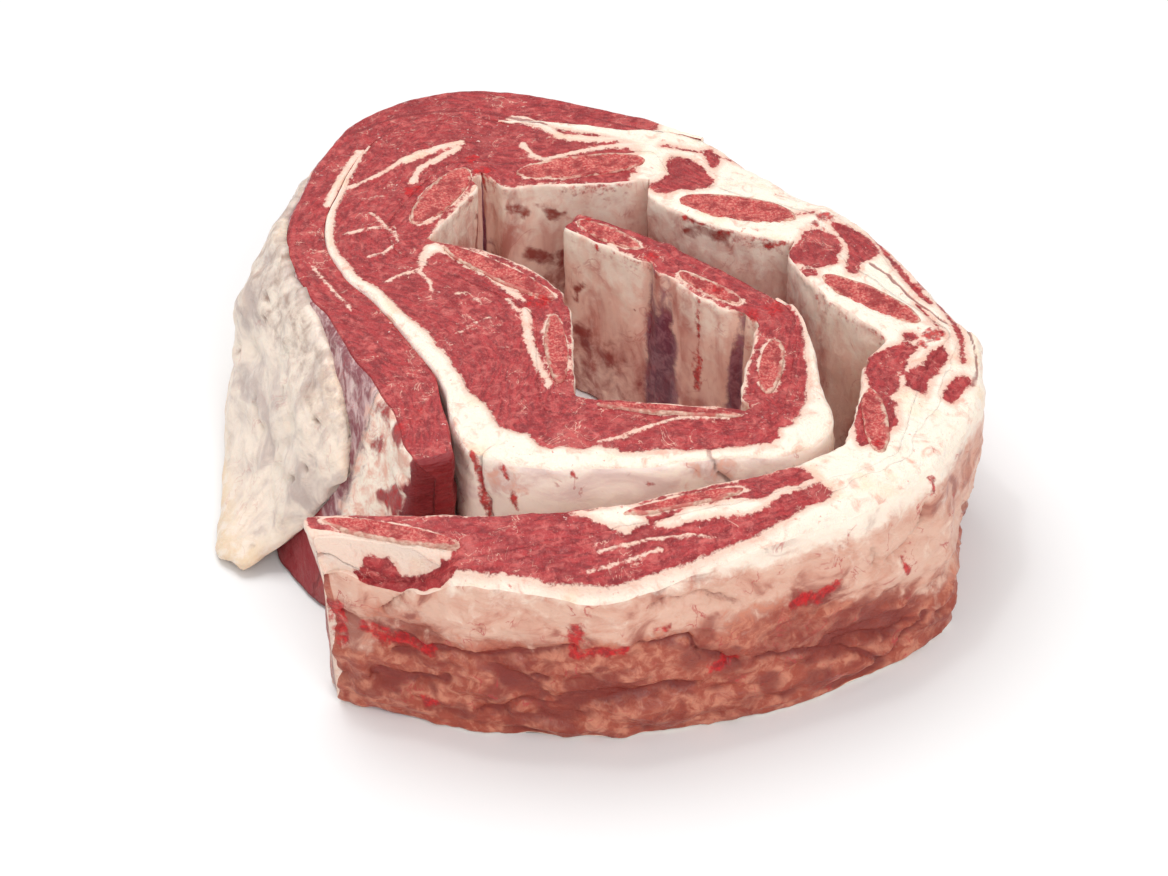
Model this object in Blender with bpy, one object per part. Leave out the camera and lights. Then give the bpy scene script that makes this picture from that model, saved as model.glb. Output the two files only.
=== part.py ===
"""A raw rack of ribs, sawn across the bones and stood on edge in a loose roll.

The strip starts at the front left, runs round the right, the back and the left, comes back
along the inside of the front and ends in the middle. Its ribs stand upright on the inner side
of the roll, lean and fat lie outside them, and a loose flap of lean wraps the back and left.

The roll is laid out in plan, in millimetres, and every layer is lofted from one set of
upright sections, so that neighbouring layers share their faces with a small gap between.
"""
import math

import bmesh
import bpy
import numpy as np

MM = 0.001
HEIGHT = 60.0            # width of the sawn strip, which stands on its edge
GAP = 0.3                # clearance between neighbouring solids
PLAN_CENTRE = (2.0, 1.06)   # middle of the outline in the plan below, taken as the origin
SECTION_STEP = 7.5       # longest step between sections, measured along the outer face
SMOOTHING_PASSES = 2     # rounds off the corners between the rows below
LEAST_DEPTH = 1.0        # thinnest end of a layer that tapers out

# Heights at which the outer walls have a row of points, as shares of the height.
WALL_LEVELS = (0.0, 0.14, 0.3, 0.46, 0.62, 0.78, 0.91, 1.0)

# Where the rows for a rib lie along the strip: rib number k fills k - 0.3 to k + 0.3.
HALF_RIB = 0.3

# One row for each rib, from the outer end of the roll to its middle. Each pair is the value
# where the rib starts and where it ends. Inner and outer are points of the cut face: the
# inner face that the ribs line, and the outer face of the fat straight across from it.
# Bed is the depth of the layer that holds the rib, fat the depth of the fat outside the
# lean, flare how far the foot of the outer wall stands out beyond its top, drop how far the
# outer edge lies below the cut face, bow how far the inner face bulges at the middle of the
# rib, and groove how deep the fold after the rib is.
RIBS = (
    dict(inner=((-72, -89.5), (-30, -90)), outer=((-68, -99), (-31, -111)),
         bed=(7.0, 16.0), fat=(1.8, 3.0), flare=(1, 0), drop=(13, 3), bow=0, groove=0),
    dict(inner=((10, -86), (40, -75.5)), outer=((6, -115), (48, -98)),
         bed=(8.5, 8.5), fat=(3.0, 3.0), flare=(-1, 7), drop=(8, 1), bow=0, groove=1.5),
    dict(inner=((71, -61), (78, -36)), outer=((96, -66), (112, -39)),
         bed=(15.0, 14.0), fat=(8.0, 14.0), flare=(9, -7), drop=(3, 3), bow=0, groove=-4),
    dict(inner=((87, -13), (60, 27)), outer=((112, -9), (85, 45)),
         bed=(18.0, 11.0), fat=(6.0, 5.0), flare=(-8, -6), drop=(3, 2), bow=3, groove=0),
    dict(inner=((62, 34), (19, 58)), outer=((74, 53), (39, 87)),
         bed=(17.5, 12.0), fat=(3.0, 14.0), flare=(-5, 0), drop=(2, 1), bow=4.5, groove=0),
    dict(inner=((20, 66), (-25, 61.5)), outer=((21, 91), (-26, 100)),
         bed=(16.0, 13.0), fat=(8.0, 1.0), flare=(0, 0), drop=(0, 0), bow=0, groove=7),
    dict(inner=((-32, 63), (-45, 38)), outer=((-69, 83), (-76, 51)),
         bed=(16.0, 15.0), fat=(1.0, 2.5), flare=(0, 0), drop=(0, 0), bow=0, groove=1),
    dict(inner=((-44, 34), (-6, 8)), outer=((-66, 14), (-41, -30)),
         bed=(11.5, 11.5), fat=(3.0, 7.0), flare=(0, 0), drop=(0, 0), bow=5, groove=0),
    dict(inner=((-4, 2), (-2.5, -37)), outer=((-38, -40), (-33, -60)),
         bed=(15.0, 13.0), fat=(7.5, 14.0), flare=(0, 0), drop=(0, 2), bow=0, groove=0),
    dict(inner=((0, -40), (43, -45)), outer=((-14, -68), (46, -62)),
         bed=(7.5, 7.0), fat=(9.0, 2.5), flare=(3, 2), drop=(3, 3), bow=0, groove=2),
    dict(inner=((43.5, -41), (49, -9)), outer=((67, -37), (64, -6)),
         bed=(14.0, 12.5), fat=(4.0, 1.5), flare=(1, 0), drop=(2, 0), bow=0, groove=2),
    dict(inner=((45, -3), (19, 20)), outer=((54, 7), (28, 30)),
         bed=(13.4, 13.4), fat=(0, 0), flare=(0, 0), drop=(0, 0), bow=0, groove=2),
    dict(inner=((16.5, 24), (-6, 41)), outer=((24, 33), (-1, 48)),
         bed=(11.7, 8.6), fat=(0, 0), flare=(0, 0), drop=(0, 0), bow=0, groove=0),
)
# Where the fold after a rib swells outwards: the extra depth of the strip and of its fat.
SWELLING = {3: 2.5, 10: 6.0}
FAT_SWELLING = {2: 3.0, 10: 9.0}

# The bone of each rib as a flat oval in plan: middle, half width, half thickness, heading.
BONES = (
    (-51.0, -96.6, 19.0, 3.4, -15),
    (26.5, -84.6, 17.0, 2.4, 18),
    (80.0, -50.5, 14.0, 3.5, 92),
    (83.0, 5.5, 17.5, 4.6, -40),
    (46.0, 50.6, 18.0, 6.2, -14),
    (-1.0, 72.8, 20.0, 5.6, 11),
    (-43.4, 57.0, 16.5, 5.4, 63),
    (-25.0, 18.0, 21.0, 3.9, -38),
    (-7.9, -18.0, 15.5, 3.2, -86),
    (23.5, -45.8, 20.0, 1.9, -7),
    (52.6, -26.0, 12.5, 3.4, 82),
    (36.6, 10.4, 11.5, 2.8, -41),
    (7.2, 37.0, 11.5, 3.3, -37),
)
BONE_SIDES = 18

# The flap of lean outside the back and left: its depth and the flare of its outer wall, each
# at a place along the strip. Its free end goes on past the last place in sections of its own,
# each an inner point, an outer point and a flare.
FLAP_PLACES = (5.3, 5.6, 5.72, 6.0, 6.3, 6.7, 7.3, 7.7, 8.0, 8.3, 8.7)
FLAP_DEPTHS = (1.5, 2.5, 8.0, 14.0, 18.5, 12.0, 11.5, 13.5, 18.0, 19.0, 19.0)
FLAP_FLARES = (-3.0, -3.0, -3.0, -3.0, -2.0, 1.0, 13.0, 25.0, 32.0, 28.0, 18.0)
FLAP_END = (
    ((-36.6, -52.0), (-49.5, -61.0), 11.0),
    ((-35.0, -65.5), (-46.0, -67.5), 5.0),
)

# The sheet of fat that hangs on the outside of the flap.
SHEET_PLACES = (6.9, 8.45)
SHEET_FOOT, SHEET_TOP = 5.0, 54.0
SHEET_DEPTH = 7.0
SHEET_EDGE_DEPTH = 2.0
SHEET_LUMP = 1.6
SHEET_GAP = 0.8          # wider than GAP, because the wall under it is twisted

FOLD_DEPTH = 1.6         # height of the folds and lobes on the outer fat

COLOURS = {
    "bone": (0.62, 0.30, 0.26, 1.0),
    "lean": (0.45, 0.07, 0.06, 1.0),
    "fat": (0.80, 0.62, 0.50, 1.0),
}


def clear_scene():
    for item in list(bpy.data.objects):
        bpy.data.objects.remove(item, do_unlink=True)


def make_material(name, colour, roughness):
    material = bpy.data.materials.new(name)
    material.use_nodes = True
    shader = material.node_tree.nodes["Principled BSDF"]
    shader.inputs["Base Color"].default_value = colour
    shader.inputs["Roughness"].default_value = roughness
    shader.inputs["Metallic"].default_value = 0.0
    return material


def smoothed(values, passes):
    """Running average along the strip, with the two ends held."""
    values = np.array(values, float)
    for _ in range(passes):
        values[1:-1] = 0.25 * values[:-2] + 0.5 * values[1:-1] + 0.25 * values[2:]
    return values


def rows():
    """Each rib's two ends in order, with heading and depth worked out from the two points."""
    found = []
    for number, rib in enumerate(RIBS, start=1):
        for end in (0, 1):
            inner = np.array(rib["inner"][end], float)
            across = np.array(rib["outer"][end], float) - inner
            found.append(dict(
                place=number + (2 * end - 1) * HALF_RIB, inner=inner,
                heading=math.atan2(across[1], across[0]), depth=math.hypot(*across),
                bed=rib["bed"][end], fat=rib["fat"][end], flare=rib["flare"][end],
                drop=rib["drop"][end], bow=rib["bow"], groove=rib["groove"],
                number=number))
    return found


def make_sections():
    """Upright sections all along the strip, as one array for each of their values."""
    keys = ("place", "heading", "depth", "bed", "fat", "flare", "drop")
    sections = {key: [] for key in keys}
    inner = []
    ends = rows()
    for index, (first, last) in enumerate(zip(ends[:-1], ends[1:])):
        turn = (last["heading"] - first["heading"] + math.pi) % (2 * math.pi) - math.pi
        fold = first["number"] != last["number"]
        deepest = max(first["depth"], last["depth"])
        length = np.linalg.norm(last["inner"] - first["inner"]) + abs(turn) * deepest
        steps = max(2, math.ceil(length / SECTION_STEP))
        for step in range(steps + (index == len(ends) - 2)):
            share = step / steps
            bulge = math.sin(math.pi * share)
            swell = bulge if fold else 0.0
            heading = first["heading"] + turn * share
            point = first["inner"] + (last["inner"] - first["inner"]) * share
            groove = first["groove"] * swell if fold else -first["bow"] * bulge
            point = point + groove * np.array((math.cos(heading), math.sin(heading)))
            inner.append(point)
            values = {key: first[key] + (last[key] - first[key]) * share
                      for key in keys if key != "heading"}
            values["heading"] = heading
            values["depth"] += SWELLING.get(first["number"], 0.0) * swell - groove
            values["bed"] -= groove
            values["fat"] += FAT_SWELLING.get(first["number"], 0.0) * swell
            for key in keys:
                sections[key].append(values[key])
    sections = {key: np.array(values) for key, values in sections.items()}
    sections["heading"] = np.unwrap(sections["heading"])
    for key in keys[1:]:
        sections[key] = smoothed(sections[key], SMOOTHING_PASSES)
    sections["inner"] = np.array(inner)
    sections["across"] = np.stack([np.cos(sections["heading"]), np.sin(sections["heading"])], 1)
    outer = sections["inner"] + sections["across"] * sections["depth"][:, None]
    steps = np.linalg.norm(np.diff(outer, axis=0), axis=1)
    sections["along"] = np.concatenate([[0.0], np.cumsum(steps)])
    return sections


def wall_offset(flare, level, straight=False):
    """How far the outer wall stands out at a share of the height, from its flare.

    A straight wall leans evenly. The others bulge below the edge or draw in at the foot.
    """
    if straight:
        return flare * (1.0 - level)
    if flare >= 0:
        return flare * (1.0 - level * level)
    return flare * (1.0 - level) ** 2


def fold_relief(along, level):
    """Lobes and long folds of the outer fat, fading out at the top and the foot."""
    fade = math.sin(math.pi * min(1.0, level * 1.05)) if level < 0.95 else 0.0
    lobes = math.sin(along / 9.0 + 3.0 * level) * math.sin(along / 23.0 + 1.3)
    folds = math.sin(11.0 * level + along / 31.0)
    return FOLD_DEPTH * fade * (0.6 * lobes + 0.6 * folds)


def at(section, depth, height):
    """A point of one section, at a depth from the inner face and a height."""
    x, y = section["inner"] + section["across"] * depth
    return ((x - PLAN_CENTRE[0]) * MM, (y - PLAN_CENTRE[1]) * MM, height * MM)


def pick(sections, index):
    return {key: values[index] for key, values in sections.items()}


def top_height(section, depth):
    """Height of the cut face, which falls away towards the outer edge."""
    share = max(0.0, min(1.0, depth / section["depth"]))
    return HEIGHT - section["drop"] * share ** 2


def loft(name, rings, material, collection):
    """A closed body through a row of rings that all have the same number of points."""
    mesh = bmesh.new()
    made = [[mesh.verts.new(point) for point in ring] for ring in rings]
    count = len(rings[0])
    for before, after in zip(made[:-1], made[1:]):
        for side in range(count):
            following = (side + 1) % count
            mesh.faces.new((before[side], before[following], after[following], after[side]))
    mesh.faces.new(made[0][::-1])
    mesh.faces.new(made[-1])
    bmesh.ops.recalc_face_normals(mesh, faces=mesh.faces)
    bmesh.ops.triangulate(mesh, faces=mesh.faces)
    data = bpy.data.meshes.new(name)
    mesh.to_mesh(data)
    mesh.free()
    item = bpy.data.objects.new(name, data)
    data.materials.append(material)
    collection.objects.link(item)
    return item


def straight_ring(section, near, far):
    """Ring of a layer with upright faces between two depths."""
    return [at(section, near, 0.0), at(section, far, 0.0),
            at(section, far, top_height(section, far)),
            at(section, near, top_height(section, near))]


def walled_ring(section, near, far, flare, relief=False, straight=False):
    """Ring of an outermost layer, whose outer wall flares and may carry relief."""
    top = top_height(section, far)
    ring = [at(section, near, top_height(section, near)), at(section, near, 0.0)]
    for level in WALL_LEVELS:
        out = far + wall_offset(flare, level, straight)
        if relief:
            out += fold_relief(section["along"], level)
        ring.append(at(section, max(out, near + LEAST_DEPTH), top * level))
    return ring


def span(sections, start, end):
    return [pick(sections, index) for index, place in enumerate(sections["place"])
            if start - 1e-6 <= place <= end + 1e-6]


def has_fat(section):
    """The fat outside the lean is missing where the flap lies straight on the lean."""
    return not 6 + HALF_RIB < section["place"] < 7 - HALF_RIB


def bone_object(name, row, grow, low, high, material, collection):
    """An upright oval bar."""
    x, y, half_width, half_thickness, heading = row
    bpy.ops.mesh.primitive_cylinder_add(
        vertices=BONE_SIDES, radius=1.0, depth=(high - low) * MM,
        location=((x - PLAN_CENTRE[0]) * MM, (y - PLAN_CENTRE[1]) * MM, (high + low) / 2 * MM),
        rotation=(0.0, 0.0, math.radians(heading)))
    item = bpy.context.object
    item.name = item.data.name = name
    item.scale = ((half_width + grow) * MM, (half_thickness + grow) * MM, 1.0)
    for home in list(item.users_collection):
        home.objects.unlink(item)
    collection.objects.link(item)
    if material:
        item.data.materials.append(material)
    return item


def nearest_top(sections, row):
    """Height of the cut face over the middle of a bone."""
    distances = np.linalg.norm(sections["inner"] - np.array(row[:2]), axis=1)
    section = pick(sections, int(np.argmin(distances)))
    depth = float(np.dot(np.array(row[:2]) - section["inner"], section["across"]))
    return top_height(section, depth)


def make_bones(sections, parts, cutters, material):
    for number, row in enumerate(BONES, start=1):
        top = nearest_top(sections, row)
        bone_object(f"rib_bone_{number:02d}", row, 0.0, 0.0, top, material, parts)
        cutter = bone_object(f"bone_slot_{number:02d}", row, GAP, -5.0, HEIGHT + 5.0,
                             None, cutters)
        cutter.hide_render = True
        cutter.display_type = "WIRE"


def make_rib_bed(sections, parts, cutters, material):
    """The layer along the inner face that holds the ribs, with an upright slot for each."""
    rings = [straight_ring(section, 0.0, section["bed"])
             for section in span(sections, 0, len(RIBS) + 1)]
    bed = loft("rib_bed", rings, material, parts)
    slots = bed.modifiers.new("rib slots", "BOOLEAN")
    slots.operation = "DIFFERENCE"
    slots.operand_type = "COLLECTION"
    slots.collection = cutters
    slots.solver = "EXACT"


def make_lean(sections, parts, material):
    """The main muscle, between the rib layer and the fat."""
    rings = []
    for section in span(sections, 0, 12 - HALF_RIB):
        near = section["bed"] + GAP
        far = section["depth"] - (section["fat"] if has_fat(section) else 0.0)
        rings.append(straight_ring(section, near, max(far, near + LEAST_DEPTH)))
    loft("lean", rings, material, parts)


def fat_limits(section):
    """Depths of the inner and outer face of the fat in one section."""
    lean_end = max(section["depth"] - section["fat"], section["bed"] + GAP + LEAST_DEPTH)
    near = lean_end + GAP
    return near, max(section["depth"], near + LEAST_DEPTH)


def make_fat_cover(sections, parts, material):
    """Fat along the outside of the front, the right and the back."""
    rings = []
    for section in span(sections, 0, 6 + HALF_RIB):
        near, far = fat_limits(section)
        fade = min(1.0, max(0.0, FLAP_PLACES[0] - section["place"]) * 2.0)
        rings.append(walled_ring(section, near, far, section["flare"] * fade, fade > 0.5))
    loft("fat_cover", rings, material, parts)


def make_fat_seam(sections, parts, material):
    """Seam of fat under the flap, which goes on as the outer fat of the inner turn."""
    rings = []
    for section in span(sections, 7 - HALF_RIB, 12 - HALF_RIB):
        near, far = fat_limits(section)
        rings.append(walled_ring(section, near, far, section["flare"]))
    loft("fat_seam", rings, material, parts)


def flap_section(section):
    """Inner depth, outer depth and flare of the flap in one section."""
    place = section["place"]
    if has_fat(section):
        near = fat_limits(section)[1] + GAP
    else:
        near = max(section["depth"], section["bed"] + GAP + LEAST_DEPTH) + GAP
    depth = np.interp(place, FLAP_PLACES, FLAP_DEPTHS)
    return near, near + depth, float(np.interp(place, FLAP_PLACES, FLAP_FLARES))


def free_end_sections():
    """The flap's own sections past the point where it parts from the strip."""
    found = []
    for inner, outer, flare in FLAP_END:
        inner = np.array(inner, float)
        across = np.array(outer, float) - inner
        depth = float(np.linalg.norm(across))
        found.append(dict(inner=inner, across=across / depth, depth=depth, flare=flare,
                          drop=1.0, along=0.0))
    return found


def make_flap(sections, parts, material):
    """The loose flap of lean that wraps the back and the left."""
    rings = []
    for section in span(sections, FLAP_PLACES[0], FLAP_PLACES[-1]):
        near, far, flare = flap_section(section)
        rings.append(walled_ring(section, near, far, flare, straight=True))
    for section in free_end_sections():
        rings.append(walled_ring(section, 0.0, section["depth"], section["flare"], straight=True))
    loft("flap_lean", rings, material, parts)


def make_fat_sheet(sections, parts, material):
    """Lumpy sheet of fat on the outside of the flap, thin along its edges."""
    levels = np.linspace(0.0, 1.0, 8)
    covered = span(sections, *SHEET_PLACES)
    first, last = covered[0]["place"], covered[-1]["place"]
    rings = []
    for section in covered:
        near, far, flare = flap_section(section)
        share = (section["place"] - first) / (last - first)
        inside, outside = [], []
        for level in levels:
            height = SHEET_FOOT + (SHEET_TOP - SHEET_FOOT) * level
            share_up = height / top_height(section, far)
            wall = far + wall_offset(flare, share_up, straight=True) + SHEET_GAP
            edge = min(1.0, 5.0 * min(share, 1.0 - share, level, 1.0 - level))
            lump = math.sin(section["along"] / 7.0 + 5.0 * level) * math.sin(9.0 * level + 1.0)
            depth = SHEET_EDGE_DEPTH + edge * (SHEET_DEPTH - SHEET_EDGE_DEPTH + SHEET_LUMP * lump)
            inside.append(at(section, wall, height))
            outside.append(at(section, wall + depth, height))
        rings.append(inside + outside[::-1])
    loft("fat_sheet", rings, material, parts)


def main():
    clear_scene()
    parts = bpy.data.collections.new("raw rack of ribs")
    cutters = bpy.data.collections.new("cutters")
    bpy.context.scene.collection.children.link(parts)
    bpy.context.scene.collection.children.link(cutters)
    bone = make_material("bone", COLOURS["bone"], 0.5)
    lean = make_material("lean", COLOURS["lean"], 0.4)
    fat = make_material("fat", COLOURS["fat"], 0.45)
    sections = make_sections()
    make_bones(sections, parts, cutters, bone)
    make_rib_bed(sections, parts, cutters, lean)
    make_lean(sections, parts, lean)
    make_fat_cover(sections, parts, fat)
    make_fat_seam(sections, parts, fat)
    make_flap(sections, parts, lean)
    make_fat_sheet(sections, parts, fat)


main()
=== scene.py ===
"""Looks of the raw rack of ribs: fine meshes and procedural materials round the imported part.

Each CAD node is replaced by one closed piece built from the same named sections as the part,
so neighbouring tissues share their borders. Lengths are millimetres until a mesh is made.
"""

import math

import bpy
import numpy as np
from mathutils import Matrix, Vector


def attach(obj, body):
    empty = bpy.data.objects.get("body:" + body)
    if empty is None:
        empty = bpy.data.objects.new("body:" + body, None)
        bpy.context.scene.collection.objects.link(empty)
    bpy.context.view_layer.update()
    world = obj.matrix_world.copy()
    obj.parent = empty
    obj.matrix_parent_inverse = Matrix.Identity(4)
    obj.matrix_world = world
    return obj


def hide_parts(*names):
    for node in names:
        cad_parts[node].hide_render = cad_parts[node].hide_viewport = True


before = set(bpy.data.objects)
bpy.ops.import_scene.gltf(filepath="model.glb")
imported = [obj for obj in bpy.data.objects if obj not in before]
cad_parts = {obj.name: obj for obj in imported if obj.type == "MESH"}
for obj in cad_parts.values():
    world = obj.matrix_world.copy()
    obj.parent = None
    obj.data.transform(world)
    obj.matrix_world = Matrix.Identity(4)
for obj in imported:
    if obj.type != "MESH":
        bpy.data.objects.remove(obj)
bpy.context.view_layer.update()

# Values shared with the part. A rib's row holds x, y of its inner face's start and end and of its outer face's start
# and end, then the start and end values of bed, fat, flare and drop, then its bow and the groove behind it.
MM = 0.001
HEIGHT = 60.0
PLAN_CENTRE = (2.0, 1.06)
SECTION_STEP = 7.5
SMOOTHING_PASSES = 2
HALF_RIB = 0.3
KEYS = ("place", "heading", "depth", "bed", "fat", "flare", "drop")
RIBS = (
    (-72, -89.5, -30, -90, -68, -99, -31, -111, 7, 16, 1.8, 3, 1, 0, 13, 3, 0, 0),
    (10, -86, 40, -75.5, 6, -115, 48, -98, 8.5, 8.5, 3, 3, -1, 7, 8, 1, 0, 1.5),
    (71, -61, 78, -36, 96, -66, 112, -39, 15, 14, 8, 14, 9, -7, 3, 3, 0, -4),
    (87, -13, 60, 27, 112, -9, 85, 45, 18, 11, 6, 5, -8, -6, 3, 2, 3, 0),
    (62, 34, 19, 58, 74, 53, 39, 87, 17.5, 12, 3, 14, -5, 0, 2, 1, 4.5, 0),
    (20, 66, -25, 61.5, 21, 91, -26, 100, 16, 13, 8, 1, 0, 0, 0, 0, 0, 7),
    (-32, 63, -45, 38, -69, 83, -76, 51, 16, 15, 1, 2.5, 0, 0, 0, 0, 0, 1),
    (-44, 34, -6, 8, -66, 14, -41, -30, 11.5, 11.5, 3, 7, 0, 0, 0, 0, 5, 0),
    (-4, 2, -2.5, -37, -38, -40, -33, -60, 15, 13, 7.5, 14, 0, 0, 0, 2, 0, 0),
    (0, -40, 43, -45, -14, -68, 46, -62, 7.5, 7, 9, 2.5, 3, 2, 3, 3, 0, 2),
    (43.5, -41, 49, -9, 67, -37, 64, -6, 14, 12.5, 4, 1.5, 1, 0, 2, 0, 0, 2),
    (45, -3, 19, 20, 54, 7, 28, 30, 13.4, 13.4, 0, 0, 0, 0, 0, 0, 0, 2),
    (16.5, 24, -6, 41, 24, 33, -1, 48, 11.7, 8.6, 0, 0, 0, 0, 0, 0, 0, 0),
)
SWELLING = {3: 2.5, 10: 6.0}
FAT_SWELLING = {2: 3.0, 10: 9.0}
# Sawn ribs: centre, half width, half thickness, and heading in degrees.
BONES = (
    (-51, -96.6, 19, 3.4, -15), (26.5, -84.6, 17, 2.4, 18), (80, -50.5, 14, 3.5, 92), (83, 5.5, 17.5, 4.6, -40),
    (46, 50.6, 18, 6.2, -14), (-1, 72.8, 20, 5.6, 11), (-43.4, 57, 16.5, 5.4, 63), (-25, 18, 21, 3.9, -38),
    (-7.9, -18, 15.5, 3.2, -86), (23.5, -45.8, 20, 1.9, -7), (52.6, -26, 12.5, 3.4, 82), (36.6, 10.4, 11.5, 2.8, -41),
    (7.2, 37, 11.5, 3.3, -37),
)
# The flap along its places: its depth, and how far its foot stands out.
FLAP_PLACES = (5.3, 5.6, 5.72, 6, 6.3, 6.7, 7.3, 7.7, 8, 8.3, 8.7)
FLAP_DEPTHS = (1.5, 2.5, 8, 14, 18.5, 12, 11.5, 13.5, 18, 19, 19)
FLAP_FLARES = (-3, -3, -3, -3, -2, 1, 13, 25, 32, 28, 18)
FLAP_END = ((-36.6, -52, -49.5, -61, 11), (-35, -65.5, -46, -67.5, 5))   # near and far point, flare
SHEET_START, SHEET_TOP, SHEET_RISE = 6.9, 54.0, 58.5
SHEET_DEPTH, SHEET_EDGE_DEPTH = 7.0, 2.0
LEAST_DEPTH = 1.0

# Fineness of the meshes.
FINE_STEP = 1.05
SOFTENING = 2.2          # rounding of the sections along the strip
EDGE_WEAR = 2.6          # rounding of the outer fat's top edge
WORN = ((0.8, 1.1, 2.3, 2.7, 5.1, 5.3), (0, 1, 1, 0.6, 0.4, 0))   # where that edge is worn
LATTICE_TURN = np.array(((0.8, 0.36, -0.48), (-0.6, 0.48, -0.64), (0.0, 0.8, 0.6)))

# Tissue drawn on the cut face: outlines and lines in the plan of the roll.
# Between the places below the layers outside the ribs are mostly fat.
FATTY_START, FATTY_END = (2.42, 2.55), (5.7, 5.85)
# A patch is a kind and its outline. A line is a kind, half width, and its points.
PATCHES = (
    ("lean", 19, 62, 22, 58, 28, 60, 38, 62, 39, 66, 37, 72, 33, 77, 27, 78, 25, 75, 26, 69),
    ("lean", 37, 83, 40, 84, 42, 77, 40, 70, 38, 74),
    ("lean", 58, 27, 63, 33, 65, 39, 70, 40, 75, 37, 76, 30, 74, 23, 69, 21, 63, 23),
    ("lean", 74, 45, 79, 43, 86, 37, 88, 32, 85, 26, 81, 24, 80, 18, 77, 18, 78, 33, 76, 38),
    ("lean", 64, 20, 68, 19, 68, 16, 64, 17),
    ("lean", 79, -24, 83, -19, 91, -15, 94, -17, 91, -23, 89, -30, 87, -38, 82, -41, 79, -38),
    ("lean", 90, -29, 95, -25, 99, -18, 102, -15, 103, -20, 99, -28, 96, -33, 95, -38, 89, -35),
    ("lean", 91, -11, 94, -10, 95, -13, 91, -15),
    ("lean", 75, -38, 78, -40, 80, -38, 86, -42, 86, -52, 81, -59, 75, -62),
    ("lean", 100, -39, 102, -32, 107, -27, 109, -29, 105, -36, 102, -41),
    ("fat", -47, 31, -44, 33, -40, 29, -44, 27, -46, 22, -48, 18, -48, 25),
    ("lean", 10, -61, 13, -57, 22, -52, 32, -51, 43, -51, 52, -52, 53, -56, 51, -59, 32, -60),
    ("fat", -4, -89, 4, -87, 15, -85, 14, -89, 17, -92, 12, -97, 8, -95, 4, -93),
    ("fat", 19, -93, 28, -87, 40, -83, 47, -83, 49, -86, 41, -90, 31, -91, 22, -94),
)
LINES = (
    ("fat", 1, 45, -87, 52, -81, 58, -78, 67, -73, 75, -69), ("fat", 0.4, 1, -108, 4, -107, 10, -105, 20, -101),
    ("fat", 0.3, 4, -102, 17, -98, 28, -96, 34, -97),
    ("fat", 1.6, -23, 100, -18, 98, -12, 94, -7, 89, 5, 87, 17, 89, 30, 88, 37, 85),
    ("fat", 1, -19, 85, -16, 79, -12, 76, -4, 80, 5, 83, 17, 85, 22, 82),
    ("fat", 0.5, -72, 61, -68, 64, -64, 67, -59, 72, -56, 76), ("fat", 1.5, -55, 76, -49, 80, -43, 84, -38, 86),
    ("fat", 1, -52, 65, -50, 72, -44, 78, -39, 83), ("fat", 1.1, -69, 81, -72, 74, -74, 66, -76, 60, -77, 53),
    ("fat", 0.4, -71, 37, -65, 40, -60, 41), ("fat", 0.3, -64, 48, -60, 43, -57, 38), ("fat", 0.3, -57, 41, -55, 33),
    ("fat", 0.35, -56, 32, -59, 28, -63, 26), ("fat", 0.4, -47, 20, -53, 17, -58, 13),
    ("fat", 0.35, -48, 18, -45, 14, -44, 9), ("fat", 0.35, -37, 8, -34, 8, -30, 4),
    ("fat", 0.3, -36, -11, -31, -6, -27, -4), ("fat", 0.8, -42, 29, -33, 22, -24, 12, -17, 4),
    ("fat", 1.2, -17, 0, -16, -12, -14, -22, -11, -31, -10, -35), ("fat", 0.4, -22, 5, -20, 1, -17, -3),
    ("fat", 0.35, -80, 22, -75, 14, -71, 7, -67, 1), ("lean", 1.1, 86, 41, 89, 31, 92, 23, 96, 13, 100, 6),
    ("lean", 0.5, 54, 49, 60, 47, 69, 50), ("lean", 0.8, 103, 6, 106, -3, 107.5, -12, 107, -22),
    ("lean", 0.5, 96, 4, 100, -4, 102.5, -11), ("lean", 0.5, 24, 84, 33, 82, 41, 80, 50, 76),
    ("fat", 0.4, 4, -58, 11, -56, 18, -52, 26, -49, 40, -49),
)
CREASES = (
    (0.7, -73, 91, -66, 96, -58, 101, -45, 104, -33, 104, -20, 99, -12, 96),
    (0.6, 84, 24, 89, 18, 93, 11, 98, 3, 104, -4), (0.5, 107, 2, 110, -6, 111, -14, 111, -23, 109, -32),
    (0.5, -8, 106, 5, 99, 17, 94, 24, 91),
)
BLOOD_DROPS = (
    (72, 47, 4), (69, 43, 2.8), (100, -12, 3.4), (-31, 70, 3.6), (-34, 77, 2.6), (-29, 64, 2.4), (55, 2, 4),
    (48, -2, 3.2), (38, 9, 2.4), (-13, 4, 3.6), (96, -16, 2.4), (45, -70, 2.2), (20, 26, 2.4), (1, 44, 2.2),
    (-44, 100, 2.4), (98, 14, 2.6), (80, -60, 2.4), (-52, 60, 2.8),
)

# Marks on the walls. A row of folds, grooves, blood or stains is a half width, then points of place and height.
OUTER_FOLDS = (
    (1.4, 0.74, 35, 0.82, 33, 0.95, 31, 1.12, 28, 1.27, 28, 1.45, 30, 1.6, 34),
    (1.7, 0.85, 16, 0.98, 16, 1.04, 15, 1.21, 18), (1.7, 1.59, 16, 1.74, 16, 1.9, 17, 2.01, 16),
    (1, 1.33, 8, 1.45, 12, 1.56, 13), (1.3, 2.43, 18, 2.49, 16, 2.55, 13, 2.58, 14),
    (1, 1.82, 34, 2, 33, 2.04, 28, 2.18, 23), (0.9, 2.55, 38, 2.6, 42, 2.65, 48), (0.9, 0.92, 39, 0.98, 44, 1.07, 48),
    (1.2, 2.26, 22, 2.35, 20, 2.45, 14, 2.51, 6), (0.8, 1.86, 46, 2.04, 46, 2.18, 42), (0.8, 2.52, 37, 2.5, 44),
    (1.2, 2.5, 4, 2.55, 6, 2.62, 14), (1.4, 3, 30, 3.3, 26, 3.7, 31, 4.1, 27),
    (1.5, 3.5, 14, 4, 12, 4.5, 16, 5.1, 13), (1.2, 4.3, 38, 4.7, 34, 5, 36),
)
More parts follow.
